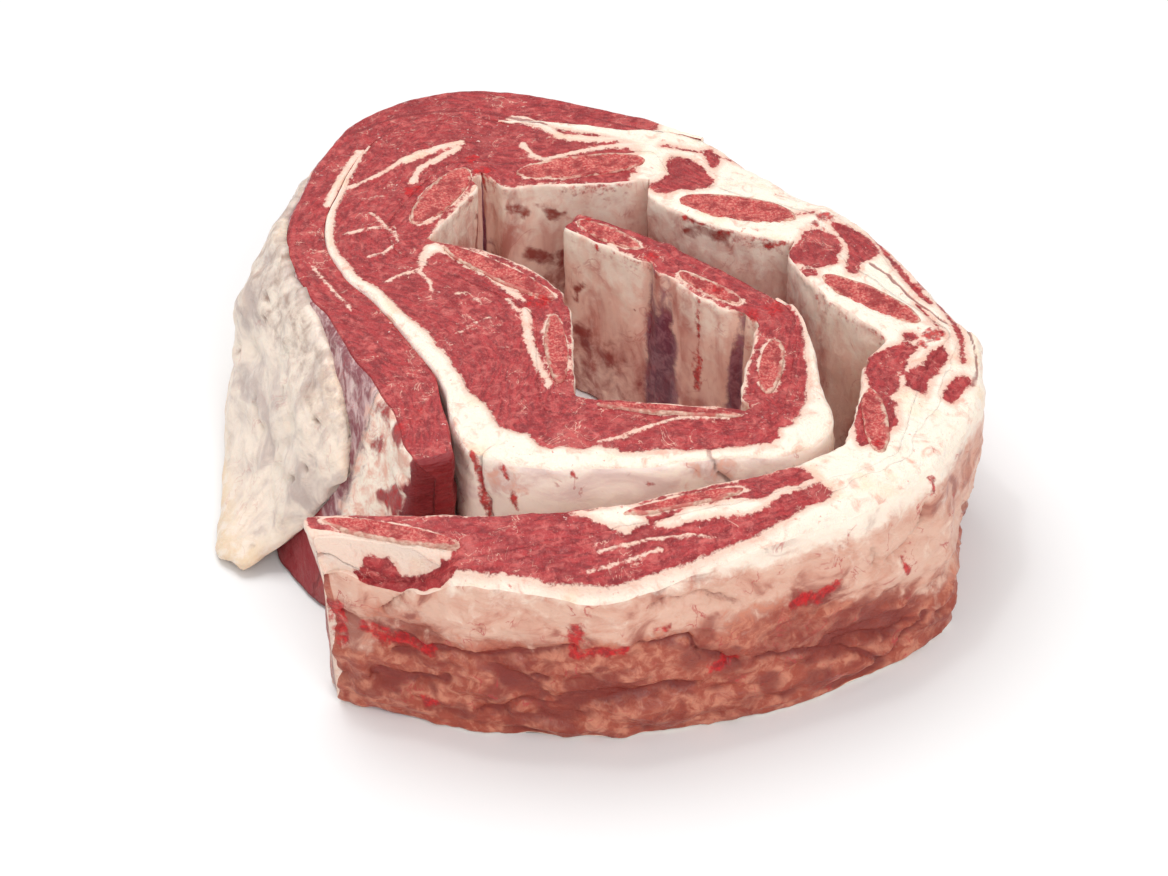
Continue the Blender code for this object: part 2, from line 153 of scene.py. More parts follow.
OUTER_BLOOD = (
    (2.2, 0.82, 31, 0.97, 28, 1.12, 28), (2.4, 1.6, 32, 1.61, 41), (2.2, 1.6, 32, 1.75, 34),
    (2.4, 2.08, 22, 2.16, 23), (1.9, 1.08, 9, 1.14, 10), (1.6, 2.34, 36, 2.42, 37), (1.1, 2.57, 30, 2.575, 36),
    (2.2, 0.7, 24, 0.715, 38), (1.3, 1.87, 38, 1.92, 38), (1, 2.66, 50, 2.68, 57), (1.6, 3.4, 22, 3.45, 27),
    (1.3, 4.4, 40, 4.5, 44),
)
OUTER_STAINS = (
    (6, 2, 28, 2.15, 24), (4, 1.62, 20, 1.8, 19), (4, 2.3, 11, 2.4, 8), (3.5, 0.9, 13, 1.1, 15),
    (3, 2.36, 35, 2.45, 37), (3, 1.3, 7, 1.5, 9), (5, 3.1, 22, 3.5, 18), (5, 4.2, 20, 4.5, 24),
)
# Height up to which the outer fat is brown, along the places.
OUTER_BORDER = ((0.7, 1, 1.22, 1.45, 1.67, 2.04, 2.35, 2.49, 2.62, 2.9, 3.6, 4.4, 5.3),
                (29, 30, 31, 33, 36, 38, 36, 27, 18, 15, 21, 14, 18))
BED_GROOVES = (
    (7.5, 12.24, 62, 12.22, 30, 12.24, 0), (3, 11.72, 62, 11.75, 0), (1.3, 6.46, 62, 6.45, 0),
    (1.2, 5.6, 60, 5.62, 0), (1.2, 4.62, 60, 4.6, 0), (2.4, 1.5, 60, 1.5, 0), (2.2, 2.5, 60, 2.5, 0),
    (1.6, 3.5, 60, 3.5, 0), (2.4, 7.5, 60, 7.5, 0), (2, 8.5, 60, 8.5, 0), (2.4, 9.5, 60, 9.5, 0),
    (2.2, 10.5, 60, 10.5, 0),
)
BED_STAINS = (
    (2.2, 13.17, 44, 13.16, 36), (4, 13.13, 24, 13.1, 18), (3.6, 12.86, 15, 12.95, 20), (0.9, 12.76, 43, 12.74, 41),
    (3, 6.27, 54, 6.22, 48), (2.6, 6.12, 50, 6.08, 47), (3.6, 6.2, 34, 6, 30), (2, 6.75, 50, 6.72, 20),
    (2.6, 4.95, 56, 5.1, 54), (3, 7.9, 30, 8.1, 24), (2.6, 10.1, 36, 10.2, 30), (2.6, 2.1, 30, 2, 22),
)
BED_BLOOD = (
    (0.8, 11.96, 60, 11.96, 38), (2, 11.96, 37, 11.97, 26), (0.9, 13.04, 61, 13.04, 58), (1.3, 5, 59.5, 5.12, 59),
    (1.2, 4.72, 60, 4.78, 56), (1.2, 6.46, 60, 6.44, 54),
)
SEAM_FOLDS = (
    (0.9, 10.16, 58, 10.19, 53, 10.23, 48), (0.8, 9.36, 58, 9.38, 48, 9.46, 38), (0.9, 9.9, 40, 10, 34, 10.15, 36),
    (0.9, 10.6, 40, 10.8, 32), (0.9, 11.2, 50, 11.3, 36),
)
SEAM_BLOOD = (
    (1.3, 9.33, 57, 9.38, 48, 9.45, 38), (1.2, 9.6, 48, 9.63, 44), (1, 9.52, 55, 9.55, 53), (0.7, 9.8, 56, 9.81, 55),
    (0.7, 9.99, 52, 10, 51), (0.6, 10.1, 46, 10.11, 45),
)
# Lumps of the outer fat: place, height, half length, half height, and how far they stand out.
OUTER_LUMPS = (
    (1.2, 41, 24, 8, 1.8), (0.8, 42, 7, 9, 1.6), (2.08, 35, 10, 8, 1.8), (0.95, 7, 16, 5, 1.4), (1.4, 20, 14, 6, 1.3),
    (1.75, 8, 16, 5, 1.6), (2.3, 30, 12, 7, 1.5), (2.5, 50, 9, 7, 1.2), (3.2, 38, 14, 8, 1.5), (3.9, 20, 16, 7, 1.6),
    (4.6, 26, 15, 7, 1.4), (1.7, 26, 10, 4, 1.1),
)
# Strength of the painted shade at the lining's foot, which turns it darker and browner down into the hollow, and of
# the flushed top edge of the lining, along the places.
BED_FOOT_SHADE = ((3.5, 4.5, 5.4, 6.4, 7.4, 8.5, 12.4, 13.3), (0.0, 0.05, 0.5, 0.8, 0.5, 0.25, 0.3, 0.7))
BED_FLUSH = ((3.4, 4.4, 5.0, 6.3, 7.4), (0.35, 0.5, 0.75, 0.6, 0.45))
# Beside the first rib, along x: the line of the step, the height at its foot, and the width of the lean there.
START_EDGE = ((-80, -68, -58, -50, -38, -28), (-95, -97.2, -99.3, -101.2, -103.4, -103))
START_FLOOR = ((-70, -50, -38, -28), (46.5, 48, 51, 56))
START_RED = ((-62, -59.5, -56, -51, -47, -40, -35, -30), (0, 2.5, 4.4, 3.8, 3.2, 4, 5, 7))
FLUFF = (5, -91, 9)      # loose fat on the cut face: centre and reach
FLAP_RED = 5.68          # place where the flap's lean shows on the cut face
# Height, and the place where the sheet ends there.
SHEET_END = ((1, 6, 12, 21, 35, 45, 50, 58), (7.95, 7.99, 8.05, 8.12, 8.2, 8.14, 8.03, 7.85))
SHEET_LIP = (7.84, 17.0)  # place where the foot of the sheet splays most, and how far

COLOURS = dict(
    lean_dark=(130, 26, 32), lean=(178, 52, 55), lean_light=(212, 106, 100), lean_deep=(146, 36, 42),
    fleck=(238, 204, 192), fat=(250, 235, 218), fat_pink=(232, 182, 163), fat_white=(255, 241, 227),
    fat_warm=(243, 212, 178), speck=(204, 96, 84), blood=(200, 14, 22), blood_dark=(146, 10, 16),
    marrow_dark=(136, 20, 27), marrow=(186, 56, 56), marrow_light=(226, 142, 128), rim=(220, 182, 162),
    rim_dark=(176, 116, 100), pleura=(238, 198, 180), pleura_pink=(208, 146, 132), pleura_meat=(112, 52, 70),
    pleura_brown=(140, 38, 28), mauve=(158, 106, 116), rind=(222, 178, 157), rind_pink=(204, 142, 121),
    rind_low=(162, 73, 54), rind_light=(202, 128, 103), rind_deep=(124, 40, 32), silver=(138, 78, 84),
    silver_light=(210, 178, 176), lilac=(240, 218, 210), grey=(150, 126, 120), sheet=(238, 221, 205),
    # The sheet's darkest colour mottles it and is painted shade in its pits and along its upper rim.
    sheet_grey=(202, 184, 175), sheet_warm=(230, 204, 174), sheet_mottle_and_shade=(158, 128, 114),
)
# Walls: key, then what skin_material asks for: name, five colours, stretch, grain size, relief, mottle and veins.
SKINS = (
    ("pleura", "pleura", "pleura", "pleura_pink", "pleura_meat", "mauve", "pleura_brown",
     (1.0, 0.45, 1.0), 4.0, 0.25, 0.3, 0.35),
    ("rind", "outer fat", "rind", "rind_pink", "rind_low", "rind_light", "rind_deep",
     (0.62, 1.0, 1.0), 3.0, 0.8, 0.6, 0.75),
    ("inner_fat", "smooth fat", "fat_white", "lilac", "silver_light", "fat_pink", "grey",
     (0.6, 1.0, 1.0), 3.5, 0.3, 0.12, 0.5),
    ("silver", "silverskin", "silver", "silver_light", "fat", "fat_pink", "lean_deep",
     (1.0, 0.2, 1.0), 1.4, 0.5, 0.0, 0.4),
    ("fibres", "torn lean", "lean", "lean_dark", "lean_dark", "lean_light", "lean_dark", (0.16, 1.0, 0.16), 1.3, 0.9),
    ("sheet", "lumpy fat", "sheet", "sheet_grey", "sheet_warm", "sheet", "sheet_mottle_and_shade", (1.0, 1.0, 1.0), 3.6, 0.8, 0.12, 0.25),
)
CAMERA_RISE = 39.5       # degrees
CAMERA_DISTANCE = 0.893
CAMERA_TARGET = (-0.0020, -0.00106, 0.012)
CAMERA_LENS = 92.47
# Lights: place, aim, size and power.
LIGHTS = (
    ("key", (-0.25, 0.35, 0.95), (0, 0, 0.02), 0.7, 4.6),
    ("glint", (-0.2, 0.1, 1.1), (0, 0, 0.03), 0.1, 0.9),
    ("front", (0.3, -0.9, 0.8), (0, 0, 0.03), 0.9, 6.0),
)


def shade(name):
    """Linear colour of a named display colour."""
    return tuple(((c / 255 + 0.055) / 1.055) ** 2.4 if c > 10 else c / 3295 for c in COLOURS[name]) + (1.0,)


def smoothed(values, passes):
    values = np.array(values, float)
    for _ in range(passes):
        values[1:-1] = 0.25 * values[:-2] + 0.5 * values[1:-1] + 0.25 * values[2:]
    return values


def rows():
    """Both ends of every rib."""
    found = []
    for number, rib in enumerate(RIBS, start=1):
        for end in (0, 1):
            inner, outer = (np.array(rib[k + 2 * end:k + 2 * end + 2], float) for k in (0, 4))
            across = outer - inner
            found.append(dict(zip(("bed", "fat", "flare", "drop"), rib[8 + end:16:2]), bow=rib[16], groove=rib[17],
                              number=number, place=number + (2 * end - 1) * HALF_RIB, inner=inner,
                              heading=math.atan2(across[1], across[0]), depth=math.hypot(*across)))
    return found


def coarse_sections():
    """The part's own sections, worked out in the same way."""
    sections = {key: [] for key in KEYS + ("inner",)}
    ends = rows()
    for index, (first, last) in enumerate(zip(ends[:-1], ends[1:])):
        turn = (last["heading"] - first["heading"] + math.pi) % (2 * math.pi) - math.pi
        fold = first["number"] != last["number"]
        length = np.linalg.norm(last["inner"] - first["inner"]) + abs(turn) * max(first["depth"], last["depth"])
        steps = max(2, math.ceil(length / SECTION_STEP))
        for step in range(steps + (index == len(ends) - 2)):
            share = step / steps
            bulge = math.sin(math.pi * share)
            swell = bulge if fold else 0.0
            groove = first["groove"] * swell if fold else -first["bow"] * bulge
            values = {key: first[key] + (last[key] - first[key]) * share for key in sections}
            heading = values["heading"] = first["heading"] + turn * share
            values["inner"] = values["inner"] + groove * np.array((math.cos(heading), math.sin(heading)))
            values["depth"] += SWELLING.get(first["number"], 0.0) * swell - groove
            values["bed"] -= groove
            values["fat"] += FAT_SWELLING.get(first["number"], 0.0) * swell
            for key in sections:
                sections[key].append(values[key])
    sections = {key: np.array(values) for key, values in sections.items()}
    sections["heading"] = np.unwrap(sections["heading"])
    for key in KEYS[1:]:
        sections[key] = smoothed(sections[key], SMOOTHING_PASSES)
    return sections


def soften(values, sigma):
    """Gaussian average along the first axis with the ends held."""
    reach = int(3 * sigma) + 1
    kernel = np.exp(-0.5 * (np.arange(-reach, reach + 1) / sigma) ** 2)
    kernel /= kernel.sum()
    flat = values.reshape(len(values), -1)
    padded = np.concatenate([2 * flat[:1] - flat[reach:0:-1], flat, 2 * flat[-1:] - flat[-2:-reach - 2:-1]])
    return np.stack([np.convolve(column, kernel, "valid") for column in padded.T], 1).reshape(values.shape)


def ramp(value, low, high):
    share = np.clip((value - low) / (high - low), 0, 1)
    return share * share * (3 - 2 * share)


def noise(points, size, seed=0):
    """Smooth lattice noise from -1 to 1, with cells of the given size on a turned lattice."""
    grid = np.asarray(points, float) @ LATTICE_TURN / size
    cell = np.floor(grid).astype(np.int64)
    part = grid - cell
    part = part * part * (3 - 2 * part)
    low_bits, total = np.uint64(0xFFFFFFFF), 0.0
    for corner in range(8):
        step = np.array([(corner >> k) & 1 for k in range(3)])
        spot = (cell + step).astype(np.uint64) * np.array((73856093, 19349663, 83492791), np.uint64)
        code = spot[..., 0] ^ spot[..., 1] ^ spot[..., 2] ^ np.uint64(seed * 2654435761 + 97)
        code = code & low_bits
        for shift, factor in ((15, 2246822519), (13, 3266489917)):
            code = ((code >> np.uint64(shift)) ^ code) * np.uint64(factor) & low_bits
        value = (((code >> np.uint64(16)) ^ code) & np.uint64(0xFFFFFF)).astype(float) / 0xFFFFFF
        total = total + np.prod(np.where(step == 1, part, 1 - part), axis=-1) * value
    return total * 2 - 1


def layers_of_noise(points, size, octaves, seed=0):
    return sum(0.5 ** octave * noise(points, size / 2 ** octave, seed + octave * 7) for octave in range(octaves))


def fine_sections():
    """Sections every FINE_STEP along whichever face of the strip moves more."""
    coarse = coarse_sections()
    across = np.stack([np.cos(coarse["heading"]), np.sin(coarse["heading"])], 1)
    outer = coarse["inner"] + across * coarse["depth"][:, None]
    moved = np.maximum(*(np.linalg.norm(np.diff(line, axis=0), axis=1) for line in (coarse["inner"], outer)))
    path = np.concatenate([[0.0], np.cumsum(moved)])
    along = np.linspace(0, path[-1], int(path[-1] / FINE_STEP))
    fine = {key: np.interp(along, path, coarse[key]) for key in KEYS}
    fine["inner"] = np.stack([np.interp(along, path, coarse["inner"][:, k]) for k in (0, 1)], 1)
    for key in KEYS[1:] + ("inner",):
        fine[key] = soften(fine[key], SOFTENING / FINE_STEP)
    fine["across"] = np.stack([np.cos(fine["heading"]), np.sin(fine["heading"])], 1)
    fine["path"] = along
    line = np.stack([along, 0 * along, 0 * along], 1)
    fine["bed"] = fine["bed"] + 0.5 * layers_of_noise(line, 9.0, 3, 11) * (fine["place"] < 11.6)
    fine["fat"] = fine["fat"] * (1 + 0.16 * layers_of_noise(line + 500, 8.0, 3, 12))
    fine["fat_edge"] = np.maximum(fine["depth"] - fine["fat"], fine["bed"] + LEAST_DEPTH)
    bare = (fine["place"] > 6 + HALF_RIB) & (fine["place"] < 7 - HALF_RIB)
    share = soften(bare.astype(float), 3.0)
    fine["fat_edge"] = fine["fat_edge"] * (1 - share) + fine["depth"] * share
    return fine


def wall_offset(flare, level, straight):
    if straight:
        return flare * (1.0 - level)
    return np.where(flare >= 0, flare * (1.0 - level * level), flare * (1.0 - level) ** 2)


def pairs(values):
    return np.array(values, float).reshape(-1, 2)


def segment_distance(points, line, closed=False):
    starts = pairs(line)
    best = 1e9
    for start, end in zip(starts if closed else starts[:-1], np.roll(starts, -1, axis=0)):
        run = end - start
        share = np.clip(((points - start) @ run) / (run @ run), 0, 1)
        gap = points - (start + share[..., None] * run)
        best = np.minimum(best, np.hypot(gap[..., 0], gap[..., 1]))
    return best


def inside(points, outline):
    found, outline = False, pairs(outline)
    for (x0, y0), (x1, y1) in zip(outline, np.roll(outline, -1, axis=0)):
        crosses = (y0 > points[..., 1]) != (y1 > points[..., 1])
        where = x0 + (points[..., 1] - y0) * (x1 - x0) / (y1 - y0 if y1 != y0 else 1e-9)
        found = found ^ (crosses & (points[..., 0] < where))
    return found


def bone_gap(points, bone):
    """Rough distance outside a bone's oval, negative inside it."""
    x, y, a, b, heading = bone
    angle = math.radians(heading)
    local = points - np.array((x, y))
    along = local[..., 0] * math.cos(angle) + local[..., 1] * math.sin(angle)
    side = -local[..., 0] * math.sin(angle) + local[..., 1] * math.cos(angle)
    share = np.hypot(along / a, side / b)
    slope = np.hypot(along / a ** 2, side / b ** 2) / np.maximum(share, 1e-6)
    return (share - 1) / np.maximum(slope, 1e-6)


def start_step(plan, place):
    """Beside the first rib: how far its step counts here, how far down it a point is, and how far out."""
    gap = np.interp(plan[..., 0], *START_EDGE) - plan[..., 1]
    return 1 - ramp(place, 1.08, 1.3), ramp(gap, -0.3, 1.0), gap


def top_height(plan, place, drop, share):
    """Height of the cut face, which falls outwards and steps down beside the first rib."""
    top = HEIGHT - drop * share ** 2
    counts, down, _ = start_step(plan, place)
    lobe = 2.5 * np.exp(-(np.hypot(plan[..., 0] + 64, plan[..., 1] + 101.5) / 4) ** 2)
    floor = np.interp(plan[..., 0], *START_FLOOR) + lobe
    return top + counts * ((HEIGHT - 2.5 * share ** 2) * (1 - down) + floor * down - top)


def start_lead(place, height):
    """The strip's start juts out at the top and draws back below."""
    lead = 2.0 * ramp(50 - height, 0, 20) - 2.5 * ramp(height, 46, 58)
    return lead * (1 - ramp(place, 0.7, 0.8))


def flat_space(plan, height=0.0):
    return np.concatenate([plan, np.full(plan.shape[:-1] + (1,), height)], -1)


def cut_fat(plan, base, place):
    """Distance into fat at points of the cut face: more than 0 is fat, less is lean."""
    wander = 0.9 * layers_of_noise(flat_space(plan), 5.0, 3, 21)
    fatty = ramp(place, *FATTY_START) * (1 - ramp(place, *FATTY_END))
    fat = np.clip(np.maximum(base, 8 * (fatty - 0.5) + 2 * wander), -6, 6)
    for kind, *outline in PATCHES:
        depth = segment_distance(plan, outline, True)
        depth = np.where(inside(plan, outline), depth, -depth) + wander
        fat = np.maximum(fat, depth) if kind == "fat" else np.minimum(fat, -depth)
    for kind, half, *line in LINES:
        depth = half * (1 + 0.5 * wander) - segment_distance(plan, line)
        fat = np.maximum(fat, depth) if kind == "fat" else np.minimum(fat, -depth)
    counts, _, gap = start_step(plan, place)
    width = np.interp(plan[..., 0], *START_RED) + 0.6 * wander
    rise = 0.55 * ramp(np.abs(plan[..., 0] + 54 + wander), 3, 6) + 0.15
    red = ramp(width - gap, -0.3, 0.6) * ramp(gap - rise, -0.1, 0.4)
    share = ramp(counts, 0.1, 0.4) * ramp(gap, -2.0, -1.2)
    return fat * (1 - share) + (1.1 - 4.1 * red) * share


def cut_marks(plan):
    """Creases and drops of blood on the cut face."""
    wander = layers_of_noise(flat_space(plan), 3.0, 3, 22)
    deep, blood = np.zeros(plan.shape[:-1]), np.zeros(plan.shape[:-1])
    for half, *line in CREASES:
        gap = segment_distance(plan, line) / half + 0.5 * wander
        deep = np.maximum(deep, 1 - ramp(gap, 0.4, 1.6))
    for x, y, radius in BLOOD_DROPS:
        reach = np.hypot(plan[..., 0] - x, plan[..., 1] - y) / radius + 0.5 * wander
        blood = np.maximum(blood, 1 - ramp(reach, 0.5, 1.3))
    return deep, blood


def cut_relief(plan, fat):
    """Height of the sawn face above its plane."""
    space = flat_space(plan, 40.0)
    grain = 0.22 * layers_of_noise(space, 4.2, 3, 31) + 0.10 * noise(space, 1.3, 35)
    lumps = 0.55 * layers_of_noise(space + 60, 6.5, 3, 36) * ramp(fat, 0, 1.5)
    x, y, reach = FLUFF
    fluff = np.exp(-(np.hypot(plan[..., 0] - x, plan[..., 1] - y) / reach) ** 2) * (0.3 + noise(space, 2.1, 37))
    return grain + lumps + 0.8 * fluff + 0.22 * np.tanh(fat / 0.7) - 0.10


def profile(counts):
    """Share across and share up of a ring's points, and the face that each starts: top, outer, bottom, inner."""
    kind = np.repeat(np.arange(4), counts)
    t = np.concatenate([np.arange(count) / count for count in counts])
    return np.choose(kind, (t, 0 * t + 1, 1 - t, 0 * t)), np.choose(kind, (0 * t + 1, 1 - t, 0 * t, t)), kind


def add_piece(name, node, slot, materials, points, kinds, slots, hidden=(), other=None, **attributes):
    """One closed mesh from rings of points that run along the strip. Hidden walls are left flat.

    A face's kind picks its material from the slots. Where `other` isn't negative it gives the number instead."""
    count, around = points.shape[:2]
    index = np.arange(count * around).reshape(count, around)
    turned = np.roll(index, -1, axis=1)
    quads = np.stack([index[:-1], turned[:-1], turned[1:], index[1:]], -1).reshape(-1, 4)
    flat = points.reshape(-1, 3)
    a, b, c, d = flat[quads].transpose(1, 0, 2)
    first, last = index[0][::-1], index[-1]
    if (a * (np.cross(b, c) + np.cross(c, d))).sum() < 0:
        quads, first, last = quads[:, ::-1], first[::-1], last[::-1]
    mesh = bpy.data.meshes.new(name)
    centred = (flat - np.array((*PLAN_CENTRE, 0.0))) * MM
    mesh.from_pydata(centred.tolist(), [], quads.tolist() + [first.tolist(), last.tolist()])
    looks = np.tile(np.array(slots)[kinds], count - 1)
    if other is not None:
        looks = np.where(other[:-1].ravel() >= 0, other[:-1].ravel(), looks)
    shown = np.tile(~np.isin(kinds, hidden), count - 1)
    mesh.polygons.foreach_set("material_index", np.append(looks, (0, 0)).astype(np.int32))
    mesh.polygons.foreach_set("use_smooth", np.append(shown, (True, True)))
    mesh.validate()
    for label, values in attributes.items():
        vector = values.ndim == 3
        layer = mesh.attributes.new(label, "FLOAT_VECTOR" if vector else "FLOAT", "POINT")
        values = values * MM if vector else np.broadcast_to(values, (count, around))
        layer.data.foreach_set("vector" if vector else "value", values.astype(np.float32).ravel())
    item = bpy.data.objects.new(name, mesh)
    bpy.context.scene.collection.objects.link(item)
    for material in materials:
        mesh.materials.append(material)
    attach(item, "root")
    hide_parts(node)


class Layer:
    """One tissue layer of the strip between two lines in plan, with a fine closed skin."""

    def __init__(self, near, far, section, counts, flare=None, straight=False,
                 radii=(0.0, 0.0, 0.0, 0.0), ends=(1.5, 1.5), end_steps=9, rounded=None):
        u, v, kind = profile(counts)
        count = len(near)
        flare = np.zeros(count) if flare is None else flare
        rounded = np.ones(count) if rounded is None else rounded
        width = np.linalg.norm(far - near, axis=1)
        across = (far - near) / width[:, None]
        tangent = np.stack([-across[:, 1], across[:, 0]], 1)
        side = np.sign(np.einsum("ij,ij->i", tangent, np.gradient((near + far) / 2, axis=0)))
        tangent *= np.where(side == 0, 1, side)[:, None]

        # The ends are closed by rings that shrink as they bulge out.
        trims = [min(int(round(end / FINE_STEP)), count // 4) for end in ends]
        kept = np.arange(trims[0], count - trims[1])
        insets, bulges = [], []
        for row, radius in zip(kept[[0, -1]], ends):
            insets.append(0.98 * width[row] / 2 * (np.arange(1, end_steps + 1) / end_steps) ** 1.3)
            bulges.append(radius * np.sqrt(1 - (1 - np.minimum(1, insets[-1] / radius)) ** 2))
        order = np.concatenate([[kept[0]] * end_steps, kept, [kept[-1]] * end_steps])
        shrink = np.concatenate([insets[0][::-1], 0.0 * kept, insets[1]])[:, None]
        push = np.concatenate([-bulges[0][::-1], 0.0 * kept, bulges[1]])[:, None]

        self.section = section = {key: values[order] for key, values in section.items()}
        near, width, across, tangent = near[order], width[order][:, None], across[order], tangent[order]
        self.place = place = section["place"][:, None]
        near_depth, whole = section["near_depth"][:, None], section["whole"][:, None]
        full = np.maximum(width + wall_offset(flare[order][:, None], v, straight), LEAST_DEPTH)
        x = u * full
        plan = near[:, None] + across[:, None] * x[..., None]
        base = near_depth + x
        top = top_height(plan, place, section["drop"][:, None], np.clip(base / whole, 0, 1))
        edge = np.maximum(whole - base, 0)
        top = top - EDGE_WEAR * np.interp(place, *WORN) * np.exp(-(edge / 2.4) ** 2)
        y = v * top
        nx = (kind == 1) * 1.0 - (kind == 3) + 0 * x
        nz = (v >= 1) * 1.0 - (v <= 0) + 0 * x
        for radius, right, upper in zip(radii, (0, 1, 1, 0), (1, 1, 0, 0)):
            if radius <= 0:
                continue
            r = np.minimum(radius * rounded[order][:, None], full * 0.45)
            dx, dy = (full - x) if right else x, (top - y) if upper else y
            corner = (dx < r) & (dy < r)
            length = np.maximum(np.hypot(dx - r, dy - r), 1e-6)
            vx, vy = (dx - r) / length, (dy - r) / length
            ax, ay = r + vx * r, r + vy * r
            x = np.where(corner, (full - ax) if right else ax, x)
            y = np.where(corner, (top - ay) if upper else ay, y)
            nx = np.where(corner, (1 if right else -1) * np.abs(vx), nx)
            nz = np.where(corner, (1 if upper else -1) * np.abs(vy), nz)
        x = full / 2 + (x - full / 2) * np.clip(1 - shrink / np.maximum(width / 2, 0.5), 0.02, 1)
        y = top / 2 + (y - top / 2) * (1 - shrink / (HEIGHT / 2))
        lead = np.abs(push) / np.abs(push).max()
        self.x, self.y, self.full, self.kind, self.across, self.tangent = x, y, full, kind, across, tangent
        self.nx, self.nz, self.nt = nx * (1 - lead), nz * (1 - lead), np.sign(push) * lead + 0 * x
        self.depth = near_depth + x
        self.to_fat = section["fat_edge"][:, None] - self.depth
        self.plan = (near[:, None] + across[:, None] * x[..., None]
                     + tangent[:, None] * (push + start_lead(place, y))[..., None])
        self.flow = np.stack([section["path"][:, None] + push + 0 * x, y, self.depth], -1)
        self.space = np.concatenate([self.plan, y[..., None]], -1)

    def grain(self, length, height, octaves, seed):
        """Layers of noise with cells of a length along the strip and a height."""
        return layers_of_noise(self.flow / np.array((length, height, 12.0)), 1.0, octaves, seed)

    def drift(self, size, octaves, seed):
        return layers_of_noise(self.space, size, octaves, seed)

    def moved(self, wall, cut, shown):
        """Points pushed out by a relief of the shown wall (1 outer, -1 inner, 0 both) and of the cut face."""
        push = self.nx * wall * (self.nx * shown >= 0)
        points = np.zeros(self.x.shape + (3,))
        points[..., :2] = (self.plan + self.across[:, None] * push[..., None]
                           + self.tangent[:, None] * (self.nt * wall)[..., None])
        points[..., 2] = np.maximum(self.y + self.nz * cut, 0.0)
        return points


def layer_section(fine, chosen, near_depth):
    section = {key: fine[key][chosen] for key in ("place", "path", "drop", "fat_edge")}
    return dict(section, whole=fine["depth"][chosen], near_depth=near_depth[chosen])


def at_depth(fine, depth, chosen):
    return (fine["inner"] + fine["across"] * depth[:, None])[chosen]


def strip_layer(fine, chosen, near_depth, far_depth, counts, **form):
    """The layer between two depths of the strip."""
    return Layer(at_depth(fine, near_depth, chosen), at_depth(fine, far_depth, chosen),
                 layer_section(fine, chosen, near_depth), counts, **form)


# Node materials.
class Tree:
    """Short names for building one node material."""

    def __init__(self, name):
        self.material = bpy.data.materials.new(name)
        self.material.use_nodes = True
        self.nodes, self.links = self.material.node_tree.nodes, self.material.node_tree.links
        self.object = self.node("TexCoord", "Object", {})

    def fill(self, node, inputs):
        """Links or sets inputs. A text is the name of a colour."""
        for key, value in inputs.items():
            if isinstance(value, bpy.types.NodeSocket):
                self.links.new(value, node.inputs[key])
            elif value is not None:
                node.inputs[key].default_value = shade(value) if isinstance(value, str) else value

    def node(self, kind, output, inputs, **settings):
        node = self.nodes.new("ShaderNode" + kind)
        for key, value in settings.items():
            setattr(node, key, value)
        self.fill(node, inputs)
        return node.outputs[output]

    def attr(self, name, output="Fac"):
        return self.node("Attribute", output, {}, attribute_name=name)

    def flow(self, stretch):
        """The piece's own directions along, up and out, stretched."""
        return self.node("Mapping", "Vector", {"Vector": self.attr("Flow", "Vector"), "Scale": stretch})

    def noise(self, size, detail=3.0, vector=None, distortion=0.0, rough=0.55):
        """Noise with features of a size in millimetres."""
        return self.node("TexNoise", "Fac", {"Vector": vector or self.object, "Scale": 1000.0 / size,
                                             "Detail": detail, "Roughness": rough, "Distortion": distortion})

    def math(self, operation, first, second=0.0):
        return self.node("Math", 0, {0: first, 1: second}, operation=operation)

    def drifted(self, value, drift, reach):
        """A value pushed up and down by a noise."""
        return self.math("ADD", value, self.math("MULTIPLY", self.math("SUBTRACT", drift, 0.5), reach))

    def step(self, value, low, high, to_low=0.0, to_high=1.0):
        return self.node("MapRange", "Result", {"Value": value, "From Min": low, "From Max": high, "To Min": to_low,
                                                "To Max": to_high}, interpolation_type="SMOOTHSTEP")

    def mix(self, share, first, second):
        return self.node("Mix", 2, {"Factor": share, 6: first, 7: second}, data_type="RGBA")

    def tint(self, colour, value, low, high, other, most=1.0):
        """Turns a colour into another one as a value rises."""
        return self.mix(self.step(value, low, high, 0.0, most), colour, other)

    def bump(self, height, distance, strength, before=None):
        return self.node("Bump", "Normal", {"Strength": strength, "Distance": distance * MM, "Height": height,
                                            "Normal": before})

    def finish(self, colour, roughness, normal, scatter=0.12):
        self.fill(self.nodes["Principled BSDF"], {
            "Base Color": colour, "Roughness": roughness, "Normal": normal, "Subsurface Weight": scatter,
            "Subsurface Radius": (1.0, 0.45, 0.3), "Subsurface Scale": 0.0018, "IOR": 1.42})
        return self.material


def blooded(tree, colour):
    """Adds the blood that the piece's attribute asks for."""
    drift = tree.noise(2.4, 5.0, rough=0.65)
    blood = tree.step(tree.drifted(tree.attr("Blood"), drift, 3.0), 0.22, 1.1, 0.0, 0.92)
    blood = tree.math("MULTIPLY", blood, tree.step(tree.attr("Blood"), 0.0, 0.3))
    clots = tree.tint("blood_dark", tree.noise(1.6, 4.0, rough=0.65), 0.38, 0.62, "blood")
    return tree.mix(blood, colour, clots)


